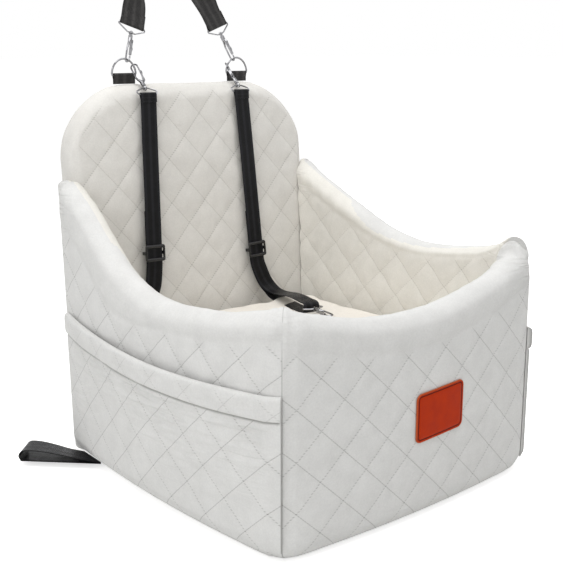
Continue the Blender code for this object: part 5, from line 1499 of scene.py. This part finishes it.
def dRing(name, x):
    radius, wire, sides, normal = hang["ringRadius"], hang["ringWire"], 16, np.array([0.0, 1.0, 0.0])
    corner = math.asin(wire * 1.5 / radius)
    high = radius * hang["ringStretch"]
    flat = [(radius * math.cos(t), high * math.sin(t)) for t in arc(corner, math.pi - corner, 60)]
    flat += [(place, 0.0) for place in arc(-hang["ringBarHalf"], hang["ringBarHalf"], 15)]
    path = [np.array([x + px, hang["ringPlace"], hang["ringBar"] + pz]) for px, pz in flat]
    rings = []
    for i, point in enumerate(path):
        side = np.cross(normal, unit(path[(i + 1) % len(path)] - path[i - 1]))
        turns = [2 * math.pi * k / sides for k in range(sides)]
        rings.append(np.array([point + wire * (side * math.cos(t) + normal * math.sin(t)) for t in turns]))
    return pieceOf(name, loopedMesh(name, rings), [metal])


slide = {
    "half": 0.0125, "bar": 0.0052, "middle": 0.0024, "rail": 0.0030, "thick": 0.0034, "clear": 0.0004,
    "corner": 0.0036, "windowCorner": 0.0012, "round": 0.0012, "bowRound": 0.0003,
}


def sliderPiece(name, side):
    _, bar, place = tetherPoints(side)
    down, wide, front = strandAxes(bar, place)
    low = hang["web"] / 2 + slide["clear"]
    high = low + slide["thick"]
    inside = hang["tether"] / 2 + slide["clear"]
    outside = inside + slide["rail"]
    back = -(hang["web"] * 1.5 + hang["layerGap"] + slide["clear"])
    r = slide["round"]

    def outer(draw, y):
        return world(roundedRing(outside - draw, slide["half"] - draw, slide["corner"] - draw, 8, 6), y)

    def window(draw, y):
        return world(roundedRing(inside - draw, slide["half"] - slide["bar"] - draw, slide["windowCorner"], 8, 6), y)

    def world(flat, y):
        return place + np.outer(flat[:, 0], wide) + np.outer(flat[:, 1], down) + front * y

    rings = [outer(r, high), outer(r * 0.3, high - r * 0.3), outer(0, high - r), outer(0, low + r),
             outer(r * 0.3, low + r * 0.3), outer(r, low), window(-r * 0.6, low), window(0, low + r * 0.6),
             window(0, high - r), window(-r * 0.4, high - r * 0.3), window(-r, high)]
    mesh = loopedMesh(name, rings)
    # the bow behind holds both layers of the strap
    level, rear = high - slide["thick"] / 2, back - slide["thick"]
    bow = np.array([(-outside, level), (-inside, level), (-inside, back), (inside, back), (inside, level),
                    (outside, level), (outside, rear), (-outside, rear)])
    bars = []
    for z, shrink in ((-1.0, slide["bowRound"]), (-0.8, 0.0), (0.8, 0.0), (1.0, slide["bowRound"])):
        flat = bow.copy()
        flat[:, 0] -= np.sign(flat[:, 0]) * shrink * (np.abs(flat[:, 0]) > inside)
        bars.append(place + np.outer(flat[:, 0], wide) + down * slide["middle"] * z + np.outer(flat[:, 1], front))
    bowMesh = ringMesh(name + "Bow", bars)
    work = bmesh.new()
    work.from_mesh(mesh)
    work.from_mesh(bowMesh)
    work.to_mesh(mesh)
    work.free()
    bpy.data.meshes.remove(bowMesh)
    mesh.set_sharp_from_angle(angle=sharpAbove["plastic"])
    return pieceOf(name, mesh, [grains["mouldedPlastic"]])


def settle(piece, node, body):
    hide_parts(node)
    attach(piece, body)


sides = (("left", -1), ("right", 1))
tetherWeb, handleWeb = webbings["tetherWebbing"], webbings["handleWebbing"]
headrest = strapPiece("headrest_strap_dress", headrestPath(), hang["headrest"], handleWeb)
settle(headrest, "headrest_strap", "headrest_loop")
for word, side in sides:
    x = side * hang["ringSpacing"] / 2
    strap = strapPiece(word + "_tether_dress", tetherPath(side), hang["tether"], tetherWeb)
    settle(strap, word + "_tether_strap", word + "_tether")
    tab = strapPiece(word + "_tab_dress", tabPath(x), hang["ringWeb"], handleWeb)
    settle(tab, word + "_ring_tab", "seat")
    settle(anchorPiece(word + "_anchor_dress", side), word + "_anchor_loop", "seat")
    settle(dRing(word + "_ring_dress", x), word + "_d_ring", word + "_ring")
    settle(sliderPiece(word + "_slider_dress", side), word + "_tether_slider", word + "_tether_slider")
print("straps and rings made")


# The smaller CAD pieces keep their shape.
nodeFinishes = {"_body": metal, "_gate": metal, "_gate_pin": metal, "_eye": metal,
                "booster_block": grains["openFoam"], "floor_panel": cloths["cushionCloth"]}
weldWithin = 0.00001
for nodeName, node in frame["nodes"].items():
    for material in [material for ending, material in nodeFinishes.items() if nodeName.endswith(ending)]:
        for slot in node.material_slots:
            slot.material = material
        if not node.material_slots:
            node.data.materials.append(material)
        if material == metal:
            node.modifiers.new("weld", "WELD").merge_threshold = weldWithin
            node.modifiers.new("split", "EDGE_SPLIT").split_angle = sharpAbove["metal"]
            node.data.polygons.foreach_set("use_smooth", [True] * len(node.data.polygons))
print("CAD pieces finished")


# Stitches, one mesh for each body
def buildStitches():
    tree = bpy.data.node_groups.new("stitches", "GeometryNodeTree")
    kinds = {"Geometry": "Geometry", "Pitch": "Float", "Length": "Float", "Radius": "Float", "Thread": "Material"}
    for name, kind in kinds.items():
        tree.interface.new_socket(name, in_out="INPUT", socket_type="NodeSocket" + kind)
    tree.interface.new_socket("Geometry", in_out="OUTPUT", socket_type="NodeSocketGeometry")
    given, result = tree.nodes.new("NodeGroupInput").outputs, tree.nodes.new("NodeGroupOutput")

    def add(kind, inputs=None, **settings):
        return addNode(tree, kind, inputs, **settings).outputs[0]

    curve = add("GeometryNodeMeshToCurve", {"Mesh": given["Geometry"]})
    even = add("GeometryNodeResampleCurve", {"Curve": curve, "Length": given["Pitch"]}, mode="LENGTH")
    turned = add("FunctionNodeAlignRotationToVector", {"Vector": add("GeometryNodeInputTangent")}, axis="Z")
    ball = add("GeometryNodeMeshUVSphere", {"Segments": 8, "Rings": 6, "Radius": 1.0})
    halfLength = times(tree, given["Length"], 0.5)
    size = add("ShaderNodeCombineXYZ", {0: given["Radius"], 1: given["Radius"], 2: halfLength})
    placed = add("GeometryNodeInstanceOnPoints", {"Points": even, "Instance": ball, "Rotation": turned, "Scale": size})
    smooth = add("GeometryNodeSetShadeSmooth", {0: add("GeometryNodeRealizeInstances", {0: placed})})
    done = add("GeometryNodeSetMaterial", {"Geometry": smooth, "Material": given["Thread"]})
    tree.links.new(done, result.inputs[0])
    return tree


stitchTree = buildStitches()
stitches = {
    "strap": {"Pitch": 0.0028, "Length": 0.0021, "Radius": 0.00026, "Thread": grains["blackThread"]},
    "hem": {"Pitch": 0.0036, "Length": 0.0026, "Radius": 0.00032, "Thread": grains["paleThread"]},
    "share": 0.84, "tetherBox": (0.0052, 0.0106), "headrestBox": (0.0065, 0.0185), "tabLine": 0.0035,
}


def stitched(name, lines, values):
    points, edges = [], []
    for line in lines:
        start = len(points)
        points += [tuple(map(float, p)) for p in line]
        edges += [(start + i, start + i + 1) for i in range(len(line) - 1)]
    mesh = bpy.data.meshes.new(name)
    mesh.from_pydata(points, edges, [])
    piece = pieceOf(name, mesh, [])
    modifier = piece.modifiers.new("stitches", "NODES")
    modifier.node_group = stitchTree
    for socket in stitchTree.interface.items_tree:
        if socket.in_out == "INPUT" and socket.name in values:
            modifier[socket.identifier] = values[socket.name]
    baked = evaluated(piece)
    piece.modifiers.clear()
    piece.data = baked
    return piece


def boxOn(origin, along, wide, width, near, far):
    half = wide * width * stitches["share"] / 2
    corners = [origin + along * near - half, origin + along * near + half,
               origin + along * far + half, origin + along * far - half]
    line = []
    for a, b in zip(corners, corners[1:] + corners[:1]):
        line += [a + (b - a) * t for t in np.linspace(0.0, 1.0, 9)[:-1]]
    return line + [line[0]]


onFace = hang["web"] * 1.5 + hang["layerGap"]
for word, side in sides:
    _, bar, _ = tetherPoints(side)
    foldWide, foldDown, foldFront = foldAxes(side)
    box = boxOn(bar + foldFront * onFace, foldDown, foldWide, hang["tether"], *stitches["tetherBox"])
    piece = stitched(word + "_tether_stitches", [box], stitches["strap"])
    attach(piece, word + "_tether")
strapLines, tabLines = [], []
for word, side in sides:
    bar, along, wide = strandStart(side)
    strapLines.append(boxOn(bar + loopFront * onFace, along, wide, hang["headrest"], *stitches["headrestBox"]))
    for face in (-1, 1):
        off = face * (layer + hang["web"]) / 2
        middle = (side * hang["ringSpacing"] / 2, hang["ringPlace"] + off, tub["backHeight"] + stitches["tabLine"])
        reach = hang["ringWeb"] * stitches["share"]
        tabLines.append([np.array(middle) + np.array([reach * t, 0.0, 0.0]) for t in np.linspace(-0.5, 0.5, 8)])
piece = stitched("headrest_stitches", strapLines, stitches["strap"])
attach(piece, "headrest_loop")
piece = stitched("tab_stitches", tabLines, stitches["strap"])
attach(piece, "seat")
piece = stitched("hem_stitches", [hemRows[word + "_pocket"][4:-3] for word, _ in sides], stitches["hem"])
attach(piece, "seat")
print("stitches made")
